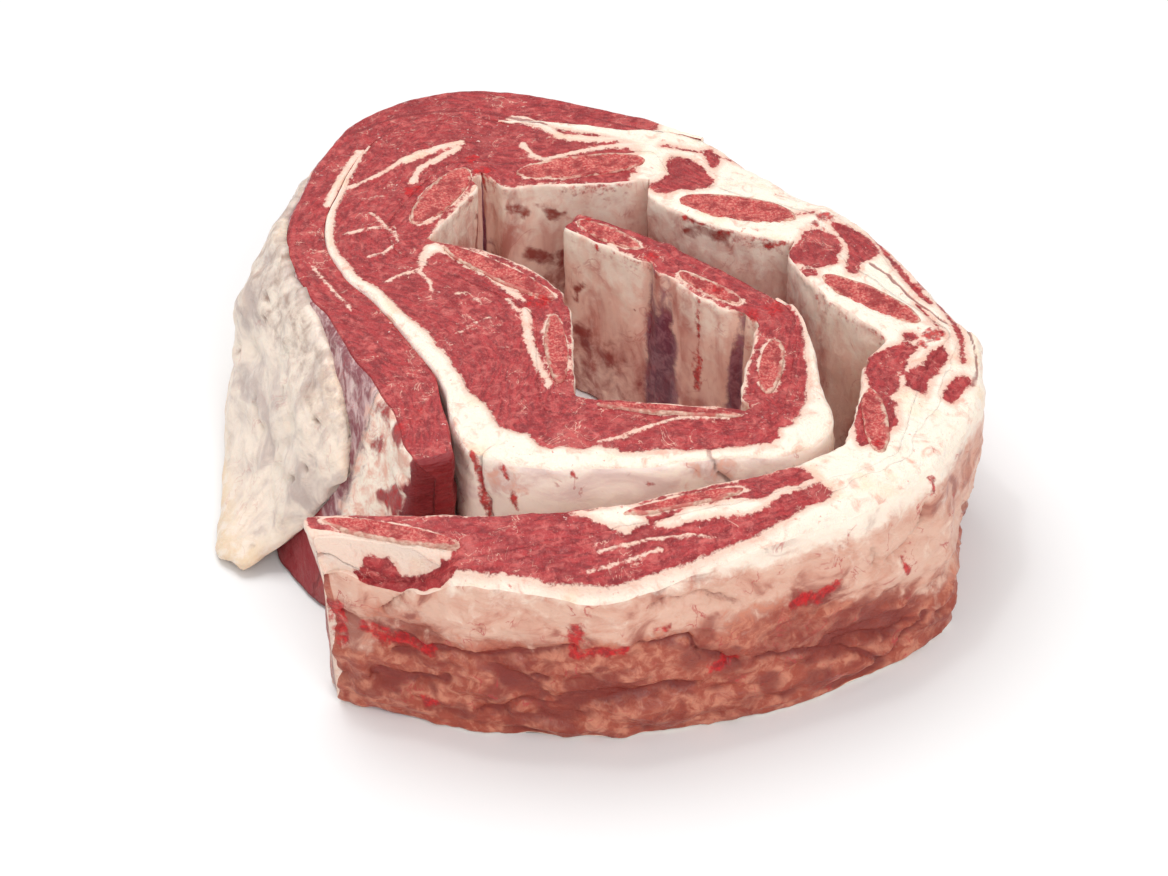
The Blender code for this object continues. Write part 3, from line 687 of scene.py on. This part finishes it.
def cut_material():
    tree = Tree("sawn meat and fat")
    fine = tree.noise(0.8, rough=0.65)
    middle = tree.noise(3.0, 5.0, distortion=0.8, rough=0.62)
    wide = tree.noise(13.0)
    grain = tree.noise(1.5, 4.0, tree.flow((0.35, 0.5, 1.0)), 0.5, 0.6)
    lean = tree.tint("lean_dark", grain, 0.34, 0.66, "lean")
    lean = tree.tint(lean, middle, 0.46, 0.74, "lean_light", 0.8)
    lean = tree.tint(lean, fine, 0.54, 0.72, "lean_light", 0.55)
    lean = tree.tint(lean, wide, 0.5, 0.72, "lean_dark", 0.45)
    crumbs = tree.noise(1.15, distortion=0.7)
    lean = tree.tint(lean, tree.drifted(crumbs, tree.noise(14.0, 2.0), 0.4), 0.7, 0.78, "fleck", 0.8)
    pale = tree.noise(9.0, 4.0, distortion=0.8)
    lean = tree.tint(lean, pale, 0.52, 0.72, "lean_light", 0.4)
    thread = tree.math("ABSOLUTE", tree.math("SUBTRACT", tree.noise(11.0, 4.0, distortion=1.4, rough=0.6), 0.5))
    thread = tree.math("MULTIPLY", tree.step(thread, 0.0, 0.012, 0.8, 0.0), tree.step(pale, 0.5, 0.6))
    lean = tree.mix(thread, lean, "fat_pink")
    fat = tree.tint("fat", tree.noise(5.0, 5.0, distortion=0.6, rough=0.6), 0.5, 0.74, "fat_pink")
    fat = tree.tint(fat, tree.noise(13.0, 2.0), 0.55, 0.75, "fat_warm", 0.6)
    fat = tree.tint(fat, tree.noise(2.2), 0.66, 0.75, "speck", 0.7)
    depth = tree.attr("Fat")
    fat = tree.mix(tree.step(depth, 0.2, 2.6, 0.7, 0.0), fat, "fat_pink")
    border = tree.drifted(depth, tree.noise(1.6, 5.0, rough=0.65), 3.4)
    colour = tree.tint(lean, border, -0.45, 0.35, fat)
    colour = tree.tint(colour, tree.drifted(tree.attr("Deep"), middle, 0.6), 0.3, 0.9, "lean_dark", 0.75)
    colour = blooded(tree, colour)
    roughness = tree.step(tree.noise(2.0), 0.35, 0.65, 0.3, 0.55)
    normal = tree.bump(grain, 0.5, 0.7, tree.bump(fine, 0.3, 0.8))
    return tree.finish(colour, roughness, tree.bump(crumbs, 0.5, 0.7, normal))


def bone_material():
    """Spongy marrow inside a hard shell, thicker and browner on the side away from the ribs' face."""
    tree = Tree("sawn rib bone")
    fine = tree.noise(0.8, 4.0, rough=0.7)
    pores = tree.noise(1.4, rough=0.65)
    wide = tree.noise(5.0, 4.0, rough=0.6)
    marrow = tree.tint("marrow", fine, 0.4, 0.68, "marrow_light")
    marrow = tree.tint(marrow, wide, 0.44, 0.64, "marrow_dark", 0.75)
    marrow = tree.tint(marrow, pores, 0.58, 0.68, "marrow_dark", 0.9)
    side = tree.attr("Side")
    shell = tree.tint("fat_pink", side, -0.5, 0.7, "rim")
    shell = tree.tint(shell, tree.noise(1.8, 4.0), 0.42, 0.66, "rim_dark", 0.85)
    shell = tree.tint(shell, tree.noise(6.0), 0.46, 0.62, "marrow", 0.7)
    edge = tree.math("SUBTRACT", tree.attr("Edge"), tree.math("MULTIPLY", side, 0.5))
    edge = tree.drifted(edge, tree.noise(2.4, 5.0, rough=0.65), 3.4)
    colour = blooded(tree, tree.tint(shell, edge, 0.3, 0.9, marrow))
    roughness = tree.step(fine, 0.3, 0.7, 0.34, 0.6)
    return tree.finish(colour, roughness, tree.bump(fine, 0.35, 0.8, tree.bump(pores, 0.6, 0.8)), 0.08)


def skin_material(name, main, second, third, fourth, deep_tone, stretch, size, relief, mottle=0.0, veins=0.0):
    """A wall of fat or membrane: tone runs from main to third, mottled by second and fourth."""
    tree = Tree(name)
    flow = tree.flow(stretch)
    streak = tree.noise(size, 5.0, flow, 0.6, 0.6)
    fine = tree.noise(0.9, rough=0.6)
    wide = tree.noise(size * 3.1, 4.0, flow, 0.8)
    colour = tree.tint(main, wide, 0.42, 0.66, second)
    colour = tree.tint(colour, streak, 0.5, 0.74, second, 0.5)
    loose = tree.math("SUBTRACT", tree.noise(4.5, 5.0, distortion=0.5, rough=0.62), 0.5)
    low = tree.tint(third, loose, -0.08, 0.14, fourth)
    low = tree.tint(low, streak, 0.52, 0.7, fourth, 0.4)
    tone = tree.math("ADD", tree.attr("Tone"), tree.math("MULTIPLY", loose, 1.5))
    colour = tree.tint(colour, tone, 0.22, 0.78, low)
    # Tone below zero turns the wall towards fat: on the lining this is painted light on its upper walls, on the outer
    # fat it pales the top.
    colour = tree.mix(tree.step(tone, -0.7, 0.0, 0.85, 0.0), colour, "fat")
    stain = tree.math("ADD", wide, tree.math("MULTIPLY", tree.attr("Tone"), 0.09))
    colour = tree.tint(colour, stain, 0.54, 0.7, deep_tone, mottle)
    thread = tree.math("ABSOLUTE", tree.math("SUBTRACT", tree.noise(size * 4.0, 4.0, distortion=1.2), 0.5))
    thread = tree.step(thread, 0.0, 0.022, veins, 0.0)
    thread = tree.math("MULTIPLY", thread, tree.step(tree.noise(9.0, 2.0), 0.5, 0.65))
    colour = tree.mix(thread, colour, "lean")
    # Deep turns the wall towards deep_tone: stains on some walls, and painted shade in folds, hollows and pits and at
    # the lining's foot on others.
    deep = tree.math("ADD", tree.attr("Deep"), tree.math("MULTIPLY", loose, 1.2))
    colour = blooded(tree, tree.tint(colour, deep, 0.25, 0.85, deep_tone, 0.92))
    roughness = tree.step(tree.noise(3.0), 0.35, 0.65, 0.28, 0.52)
    return tree.finish(colour, roughness, tree.bump(fine, 0.2, 0.7, tree.bump(streak, relief, 0.8)))


def spots(layer, table):
    """Sum of soft lumps on a wall: place, height, half length, half height, strength."""
    total = 0 * layer.x
    for where, height, half_length, half_height, strength in table:
        centre = np.interp(where, layer.section["place"], layer.section["path"])
        run, rise = (layer.flow[..., 0] - centre) / half_length, (layer.y - height) / half_height
        total += strength * np.exp(-(run ** 2 + rise ** 2))
    return total


def wall_marks(layer, lines, seed=0, wander=1.2):
    """How strongly lines on a wall, given by place and height, mark each point."""
    along = np.stack([layer.flow[..., 0], layer.y, 0 * layer.y], -1)
    drift = wander * np.stack([layers_of_noise(along + 70 * k, 6.0, 3, 90 + seed + k) for k in (1, 2)], -1)
    total = 0 * layer.x
    for half, *line in lines:
        line = pairs(line)
        line[:, 0] = np.interp(line[:, 0], layer.section["place"], layer.section["path"])
        gap = segment_distance(along[..., :2] + drift, line) / half
        total = np.maximum(total, 1 - ramp(gap, 0.25, 1.5))
    return total


def start_end(layer):
    """Share of the strip's sawn start, where fat wraps round the end."""
    return np.clip(-layer.nt, 0, 1)


def end_stain(layer):
    """Browned lean low on the sawn start."""
    low = 57 - layer.y + 9 * layer.drift(8.0, 3, 58)
    return 0.85 * start_end(layer) * ramp(low, 0, 18)


def sawn_face(layer, base, wrapped=False):
    """Fat, creases, blood and relief of a layer's cut face."""
    fat = cut_fat(layer.plan, base, layer.place)
    if wrapped:
        fat = np.maximum(fat, (3.2 + noise(layer.space, 4.0, 46)) * start_end(layer) - 1.5)
    return fat, *cut_marks(layer.plan), cut_relief(layer.plan, fat)


def make_bed(fine, looks):
    layer = strip_layer(fine, slice(None), 0 * fine["bed"], fine["bed"], (16, 3, 9, 50), radii=(1.3, 0, 0, 0.8))
    gap = np.min([bone_gap(layer.plan, bone) for bone in BONES], axis=0)
    wander = 0.9 * layers_of_noise(layer.space * (1, 1, 0), 6.0, 3, 44)
    base = np.maximum(0.1 + wander - gap, 0.5 + wander - layer.depth)
    fat, crease, drops, cut = sawn_face(layer, base, True)
    groove, inner = wall_marks(layer, BED_GROOVES, 1, 0.7), layer.kind == 3
    rib_share = 1 - ramp(np.abs((layer.place + 0.5) % 1 - 0.5), 0.2, 0.45)
    ragged = ramp(layer.y, 50, 59)
    wall = (0.9 * rib_share - 0.5 - 1.3 * groove + 0.45 * layer.drift(10.0, 3, 41)
            + 0.25 * layer.grain(3.0, 30.0, 2, 42) + groove * 0.8 * layer.grain(2.4, 22.0, 2, 47)
            + 0.4 * ragged * layer.drift(3.0, 2, 48))
    # Tone also holds painted light: it is lowered near the top of the lining, which turns the lit upper walls towards
    # fat.
    tone = (groove * (0.95 + 0.3 * layer.grain(3.0, 22.0, 3, 40)) + 0.22 * (1 - rib_share)
            + 0.12 * layer.grain(6.0, 30.0, 2, 43) - 0.5 * ramp(layer.y, 34, 57))
    # Painted shade: the lining turns darker and browner towards its foot, deepening down into the hollow, stronger at
    # some ribs.
    foot_shade = np.interp(layer.place, *BED_FOOT_SHADE) * ramp(30 - layer.y, -22, 26)
    deep = np.maximum(0.72 * wall_marks(layer, BED_STAINS, 2, 3.0), foot_shade + 0.1 * layer.grain(9.0, 24.0, 3, 45))
    flush = 0.8 * np.interp(layer.place, *BED_FLUSH) * ragged
    flush = flush * ramp(layer.grain(14.0, 60.0, 2, 49), -0.3, 0.5)
    blood = np.maximum(0.9 * wall_marks(layer, BED_BLOOD, 3, 0.6), flush)
    add_piece("rib_bed_meat", "rib_bed", "lean", (looks["cut"], looks["pleura"]),
              layer.moved(wall, cut - 1.4 * ramp(-gap, 0.2, 1.2), -1), layer.kind, (0, 0, 0, 1), (1, 2),
              Fat=fat, Tone=tone, Deep=np.maximum(np.where(inner, deep, crease), end_stain(layer)),
              Blood=np.where(inner, blood, drops), Flow=layer.flow)


def make_lean(fine, looks):
    chosen = fine["place"] <= 12 - HALF_RIB
    layer = strip_layer(fine, chosen, fine["bed"], fine["fat_edge"], (34, 4, 20, 4), ends=(1.2, 1.5))
    to_fat = np.where((layer.place > 6.25) & (layer.place < 6.75), 6.0, layer.to_fat)
    fat, crease, drops, cut = sawn_face(layer, np.clip(-to_fat, -6, None), True)
    add_piece("lean_meat", "lean", "lean", (looks["cut"],), layer.moved(0, cut - 0.6 * crease, 0),
              layer.kind, (0, 0, 0, 0), (1, 2, 3),
              Fat=fat, Deep=np.maximum(crease, end_stain(layer)), Blood=drops, Flow=layer.flow)


def rind_relief(layer):
    """Long folds, lobes and wrinkles of the outer fat."""
    path = layer.flow[..., 0]
    fade = np.sin(np.pi * np.clip(layer.y / HEIGHT * 1.03, 0, 1))
    lobes = np.sin(path / 9.0 + layer.y / 20) * np.sin(path / 23.0 + 1.3)
    warp = np.stack([layers_of_noise(layer.flow / 2 + 31 * k, 9.0, 2, 56 + k) for k in range(3)], -1)
    stretched = (layer.flow + 4.0 * warp) / np.array((30.0, 9.0, 12.0))
    long_folds = 1 - np.abs(layers_of_noise(stretched, 1.0, 3, 51))
    rough = 0.45 + 0.75 * ramp(34 - layer.y, -12, 10)
    return (0.9 * fade * lobes + rough * (2.3 * (long_folds - 0.72) + 0.8 * layer.grain(9.0, 3.6, 3, 52))
            + 0.28 * layer.drift(2.4, 2, 53))


def outer_tone(layer):
    border = np.interp(layer.place, *OUTER_BORDER)
    border = border + 9 * layers_of_noise(layer.flow * (1, 1, 0) / np.array((24.0, 16.0, 1.0)), 1.0, 3, 54)
    pale = ramp(layer.y, 46, 57) * np.interp(layer.place, (1.6, 2.4), (0.5, 0.9))
    return ramp(border - layer.y, -12, 12) - pale


def make_fat_cover(fine, looks):
    chosen = fine["place"] <= 6 + HALF_RIB
    before = FLAP_PLACES[0] - fine["place"][chosen]
    layer = strip_layer(fine, chosen, fine["fat_edge"], fine["depth"], (12, 62, 8, 3),
                        flare=fine["flare"][chosen] * np.clip(before * 2.0, 0, 1), radii=(0, 2.4, 2.4, 0),
                        ends=(1.4, 0.6), rounded=np.clip(before * 5, 0.01, 1))
    fat, crease, drops, cut = sawn_face(layer, np.minimum(-layer.to_fat, 6))
    relief, folds, outer = rind_relief(layer), wall_marks(layer, OUTER_FOLDS, 4), layer.kind == 1
    wall = relief + spots(layer, OUTER_LUMPS) - 1.9 * folds
    wall = np.maximum(wall * np.clip((FLAP_PLACES[0] - layer.place) * 2.0, 0, 1), 1.0 - layer.full)
    tone = np.where(layer.nt < -0.3, 0.8, outer_tone(layer))
    # Painted shade: the folds and the hollows of the relief are darkened, more where the fat is brown. The stains
    # added next are the fat's own.
    deep = np.maximum((0.5 + 0.35 * tone) * folds, (0.25 + 0.45 * tone) * ramp(-relief, 0.1, 1.6))
    deep = np.maximum(deep, 0.62 * wall_marks(layer, OUTER_STAINS, 8, 4.0))
    add_piece("outer_fat", "fat_cover", "fat", (looks["cut"], looks["rind"]),
              layer.moved(wall, cut - 0.6 * crease, 1), layer.kind, (0, 1, 0, 0), (2, 3),
              Fat=fat, Tone=tone, Deep=np.where(outer, deep, crease),
              Blood=np.where(outer, wall_marks(layer, OUTER_BLOOD, 5, 1.6), drops), Flow=layer.flow)


def make_fat_seam(fine, looks):
    chosen = (fine["place"] >= 7 - HALF_RIB) & (fine["place"] <= 12 - HALF_RIB)
    layer = strip_layer(fine, chosen, fine["fat_edge"], fine["depth"], (12, 50, 8, 3),
                        flare=fine["flare"][chosen], radii=(0, 1.8, 1.2, 0), ends=(0.5, 1.5))
    fat, _, _, cut = sawn_face(layer, np.minimum(-layer.to_fat, 6))
    folds = wall_marks(layer, SEAM_FOLDS, 6)
    wall = 0.8 * layer.drift(13.0, 3, 61) + 0.3 * layer.grain(10.0, 5.0, 3, 62) - 1.2 * folds
    wall = np.maximum(wall * ramp(layer.place, 8.6, 9.0), 1.0 - layer.full)
    # Deep paints shade into the folds of the smooth fat, where it turns grey.
    add_piece("seam_fat", "fat_seam", "fat", (looks["cut"], looks["inner_fat"]), layer.moved(wall, cut, 1),
              layer.kind, (0, 1, 0, 0), (2, 3),
              Fat=fat, Tone=0.6 * ramp(layer.grain(20.0, 11.0, 3, 63), -0.1, 0.8), Deep=0.7 * folds,
              Blood=wall_marks(layer, SEAM_BLOOD, 7) * (layer.kind == 1), Flow=layer.flow)


def flap_lines(fine):
    """Near and far lines of the flap, with its free end, at even steps."""
    chosen = (fine["place"] >= FLAP_PLACES[0]) & (fine["place"] <= FLAP_PLACES[-1])
    place, across = fine["place"][chosen], fine["across"][chosen]
    slit = 2.2 * ramp(place, 8.25, 8.7)
    near = at_depth(fine, fine["depth"], chosen) + across * slit[:, None]
    far = near + across * (soften(np.interp(place, FLAP_PLACES, FLAP_DEPTHS), 2.0) - slit)[:, None]
    flare = soften(np.interp(place, FLAP_PLACES, FLAP_FLARES), 3.0)
    tail = np.array([(*near[-1], *far[-1], flare[-1]), *FLAP_END])
    length = np.concatenate([[0], np.cumsum(np.linalg.norm(np.diff(tail[:, 2:4], axis=0), axis=1))])
    steps = np.arange(FINE_STEP, length[-1], FINE_STEP)
    tail = np.stack([np.interp(steps, length, column) for column in tail.T], 1)
    near, far, flare = (soften(np.concatenate(lines), 2.5) for lines in (
        (near, tail[:, :2]), (far, tail[:, 2:4]), (flare, tail[:, 4])))
    extra = len(steps)
    section = {key: np.append(values, np.full(extra, values[-1]))
               for key, values in layer_section(fine, chosen, fine["depth"]).items()}
    section["path"][-extra:] += FINE_STEP * np.arange(1, extra + 1)
    section["place"][-extra:] = FLAP_PLACES[-1] + 0.6 * np.arange(1, extra + 1) / extra
    section["drop"] = np.interp(section["place"], (5.3, 8.7, 9.3), (0.2, 0.6, 1.5))
    return near, far, flare, section


def make_flap(flap, looks):
    near, far, flare, section = flap
    layer = Layer(near, far, section, (20, 54, 10, 20), flare=flare, straight=True,
                  radii=(0.8, 2.0, 1.5, 0.8), ends=(0.4, 2.5), end_steps=14)
    place, top, outer, inner = layer.place, layer.kind == 0, layer.kind == 1, layer.kind == 3
    fat = cut_fat(layer.plan, np.full(layer.x.shape, -6.0), 0 * place + 7)
    fat = np.maximum(fat, np.clip((FLAP_RED - place) * 30, -6, 4))
    threads = noise(layer.flow / np.array((1.7, 60.0, 11.0)), 1.0, 75) * ramp(place, 6.3, 6.8)
    threads = ramp(threads, 0.3, 0.8)
    free = ramp(place, 8.62, 8.95)
    wall = 0.6 * layer.drift(10.0, 3, 71) + 0.3 * layer.grain(6.0, 14.0, 3, 72)
    wall = np.where(layer.nx < 0, wall * free, wall) + 0.75 * layer.grain(24.0, 2.2, 2, 73) * free
    points = layer.moved(wall * ramp(place, 5.4, 5.9), cut_relief(layer.plan, fat) - 0.3 * threads, 0)
    padded = ramp(place + 0.012 * layer.grain(6.0, 8.0, 3, 76), 8.14, 8.3)
    tone = np.maximum(padded, ramp(layer.grain(14.0, 9.0, 3, 74), 0.1, 0.8) * (place < 7.2))
    start = (place + 0.05 * layer.grain(7.0, 9.0, 3, 79) < 5.78) & (outer | (layer.nt < 0))
    torn = (layer.nt > 0.3) | (place + 0.05 * layer.grain(9.0, 5.0, 3, 80) > 9.2) & outer
    fringe = ramp(6.0 + 0.2 * layer.grain(9.0, 12.0, 3, 87) - place, -0.06, 0.12)
    red = ramp(layer.grain(9.0, 7.0, 3, 77), -0.25, 0.7) * padded * ~torn
    # Dark red at the flap's foot near the sheet: the lean there, deepened as painted shade under the splayed sheet.
    foot = ramp(20 - layer.y - 6 * layer.grain(9.0, 30.0, 2, 78), -2, 4) * (place > 7.4)
    low = np.maximum(np.maximum(0.9 * red, foot), 0.75 * free * (inner | torn))
    deep = np.where(top & ~torn, np.maximum(cut_marks(layer.plan)[0], 0.55 * threads), low)
    turned = layer.flow.copy()
    turned[..., 0] += layer.y
    turned[..., 1] = (layer.y - 0.8 * layer.flow[..., 0]) * (1 + 4 * (padded > 0.5))
    add_piece("flap_meat", "flap_lean", "lean", (looks["cut"], looks["silver"], looks["fibres"], looks["rind"]),
              points, layer.kind, (0, 1, 0, 2), (2,), np.where(start, 3, np.where(torn, 2, -1)),
              Fat=fat, Tone=np.where(start, outer_tone(layer), np.maximum(tone, fringe)), Deep=deep,
              Blood=0.55 * red, Flow=np.where((outer & ~start)[..., None], turned, layer.flow))


def make_sheet(flap, looks):
    """The lumpy sheet of fat outside the flap, as a closed pillow with a ragged edge."""
    near, far, flare, section = flap
    share, level = np.meshgrid(np.linspace(0, 1, 96), np.linspace(0, 1, 62), indexing="ij")
    top = np.interp(share, (0, 0.55, 0.8, 1), (SHEET_TOP, SHEET_RISE, SHEET_RISE, SHEET_TOP - 4))
    foot = 1.2 + 5 * ramp(0.6 - share, -0.2, 0.3)
    up = foot + (top - foot) * level
    place = SHEET_START + (np.interp(up, *SHEET_END) - SHEET_START) * share
    grid = np.stack([share * 110, up, 0 * up], -1)
    to_end, to_rim = np.minimum(share, 1 - share), np.minimum(level, 1 - level)
    pull = np.clip(1 - np.minimum(to_end * 3, to_rim * 2) * 6, 0, 1)
    edge = np.sqrt(np.clip(6 * np.minimum(to_end, to_rim * 0.7), 0, 1))
    up = np.maximum(up + 1.6 * layers_of_noise(grid + 300, 8.0, 2, 82) * pull, 1.0)
    columns = np.arange(len(far))
    column = np.interp(place, section["place"], columns) + 3.2 * layers_of_noise(grid, 9.0, 3, 81) * pull
    across = (far - near) / np.linalg.norm(far - near, axis=1)[:, None]
    wall_x, wall_y, across_x, across_y, lean_out, path = (
        np.interp(column, columns, values) for values in (*far.T, *across.T, flare, section["path"]))
    flow = np.stack([path, up, 0 * up], -1)
    lumps = layers_of_noise(flow, 15.0, 4, 83)
    ridges = 1 - np.abs(layers_of_noise(flow * (1.0, 0.6, 1.0) + 200, 16.0, 3, 84))
    pits = ramp(layers_of_noise(flow + 400, 4.5, 2, 86), 0.78, 1.05)
    lip = np.exp(-((level - 0.05) / 0.07) ** 2)
    splay = SHEET_LIP[1] * np.exp(-((place - SHEET_LIP[0]) / 0.18) ** 2)
    lean_out = lean_out * (1 - up / HEIGHT) + splay * ramp(16 - up, 0, 15)
    depth = SHEET_DEPTH - SHEET_EDGE_DEPTH + 2.2 * lumps + layers_of_noise(flow + 90, 5.0, 3, 85)
    depth = SHEET_EDGE_DEPTH * 0.6 + edge * (depth + 2.0 * (ridges - 0.7) - 1.6 * pits) + 1.6 * lip * edge

    def both(back, front=None):
        return np.concatenate([back, (back if front is None else front)[:, ::-1]], 1)

    offset = both(lean_out - 1.0, lean_out + np.maximum(depth, 0.6))
    points = np.stack([both(wall_x) + both(across_x) * offset, both(wall_y) + both(across_y) * offset, both(up)], -1)
    tone = both(0.1 + 0.3 * lumps + 0.6 * lip + 0.3 * (1 - edge))
    # Deep paints shade into the pits and along the upper rim of the sheet.
    add_piece("fat_sheet_lumps", "fat_sheet", "fat", (looks["sheet"],), points, 0 * points[0, :, 0].astype(int), (0,),
              Tone=tone, Deep=both(0.6 * pits + 0.45 * ramp(up, 34, 50)), Blood=0 * tone, Flow=both(flow))


def make_bone(number, bone, top, outward, look):
    """One oval bar with a sawn top and foot: a hard rim round softer marrow."""
    x, y, half_width, half_thickness, heading = bone
    turn, angle = np.linspace(0, 2 * np.pi, 72, endpoint=False), math.radians(heading)
    circle = np.stack([np.cos(turn) * 3, np.sin(turn) * 3, 0 * turn + number * 9], 1)
    wobble = 0.45 * layers_of_noise(circle, 1.6, 2, 100 + number)
    share = np.linspace(1, 0.04, 12)[:, None]
    inset = half_thickness * (1 - share)
    a = half_width - inset * (1 + 0.8 * (1 - share) * (half_width / half_thickness - 1)) + wobble * share
    a, b = np.maximum(a, 0.3) * np.cos(turn), (half_thickness * share + wobble * share) * np.sin(turn)
    px, py = x + a * math.cos(angle) - b * math.sin(angle), y + a * math.sin(angle) + b * math.cos(angle)
    lift = 0.35 + 0.18 * np.exp(-((inset - 0.8) / 0.6) ** 2) - 0.25 * np.minimum(1, inset / 1.5)
    faces = []
    for foot in (0, 1):
        rough = layers_of_noise(np.stack([px, py, 0 * px + 90 * foot], -1), 1.8, 2, 100 + number)
        z = lift + 0.16 * rough * (1 - share) ** 0.3 - 0.35 * np.maximum(0, 1 - inset / 0.35)
        faces.append(np.stack([px, py, np.maximum(0.35 - z, 0.0) if foot else top + z], -1))
    points = np.concatenate([faces[0][::-1], faces[1]])
    edge = np.concatenate([inset[::-1], inset])
    add_piece(f"rib_{number:02d}_bone", f"rib_bone_{number:02d}", "bone", (look,), points, 0 * turn.astype(int), (0,),
              Edge=edge, Side=-np.sin(turn) * outward + 0 * edge, Blood=cut_marks(points[..., :2])[1])


def make_bones(fine, looks):
    for number, bone in enumerate(BONES, start=1):
        spot, angle = np.array(bone[:2]), math.radians(bone[4])
        index = np.argmin(np.linalg.norm(fine["inner"] - spot, axis=1))
        across = fine["across"][index]
        share = np.clip((spot - fine["inner"][index]) @ across / fine["depth"][index], 0, 1)
        top = top_height(spot, fine["place"][index], fine["drop"][index], share)
        make_bone(number, bone, top, -across @ (-math.sin(angle), math.cos(angle)), looks["bone"])


def add_aimed(name, data, spot, aim):
    """A camera or light at a spot, turned to what it looks at."""
    item = bpy.data.objects.new(name, data)
    item.location = spot
    item.rotation_euler = (Vector(aim) - Vector(spot)).to_track_quat("-Z", "Y").to_euler()
    bpy.context.scene.collection.objects.link(item)
    return item


def make_camera():
    data = bpy.data.cameras.new("camera")
    data.sensor_width, data.sensor_fit = 36.0, "HORIZONTAL"
    data.lens, data.clip_start = CAMERA_LENS, 0.01
    rise = math.radians(CAMERA_RISE)
    spot = Vector(CAMERA_TARGET) + CAMERA_DISTANCE * Vector((0, -math.cos(rise), math.sin(rise)))
    bpy.context.scene.camera = add_aimed("camera", data, spot, CAMERA_TARGET)


def make_stage():
    bpy.ops.mesh.primitive_plane_add(size=6.0, location=(0, 0, -0.0004))
    floor = bpy.context.object
    floor.name = "floor"
    material = bpy.data.materials.new("pale floor")
    material.use_nodes = True
    shader = material.node_tree.nodes["Principled BSDF"]
    shader.inputs["Base Color"].default_value = (0.87, 0.87, 0.87, 1)
    shader.inputs["Roughness"].default_value = 0.7
    floor.data.materials.append(material)
    for name, spot, aim, size, power in LIGHTS:
        data = bpy.data.lights.new(name, "AREA")
        data.shape, data.size, data.energy = "DISK", size, power
        add_aimed(name, data, spot, aim)
    world = bpy.data.worlds.new("studio")
    world.use_nodes = True
    background = world.node_tree.nodes["Background"]
    background.inputs["Color"].default_value = (1, 1, 1, 1)
    background.inputs["Strength"].default_value = 0.64
    bpy.context.scene.world = world
    view = bpy.context.scene.view_settings
    view.view_transform, view.look, view.exposure, view.gamma = "Standard", "None", 0.0, 1.0


def main():
    make_camera()
    make_stage()
    looks = dict(cut=cut_material(), bone=bone_material())
    for key, *values in SKINS:
        looks[key] = skin_material(*values)
    fine = fine_sections()
    make_bed(fine, looks)
    make_lean(fine, looks)
    make_fat_cover(fine, looks)
    make_fat_seam(fine, looks)
    flap = flap_lines(fine)
    make_flap(flap, looks)
    make_sheet(flap, looks)
    make_bones(fine, looks)


main()
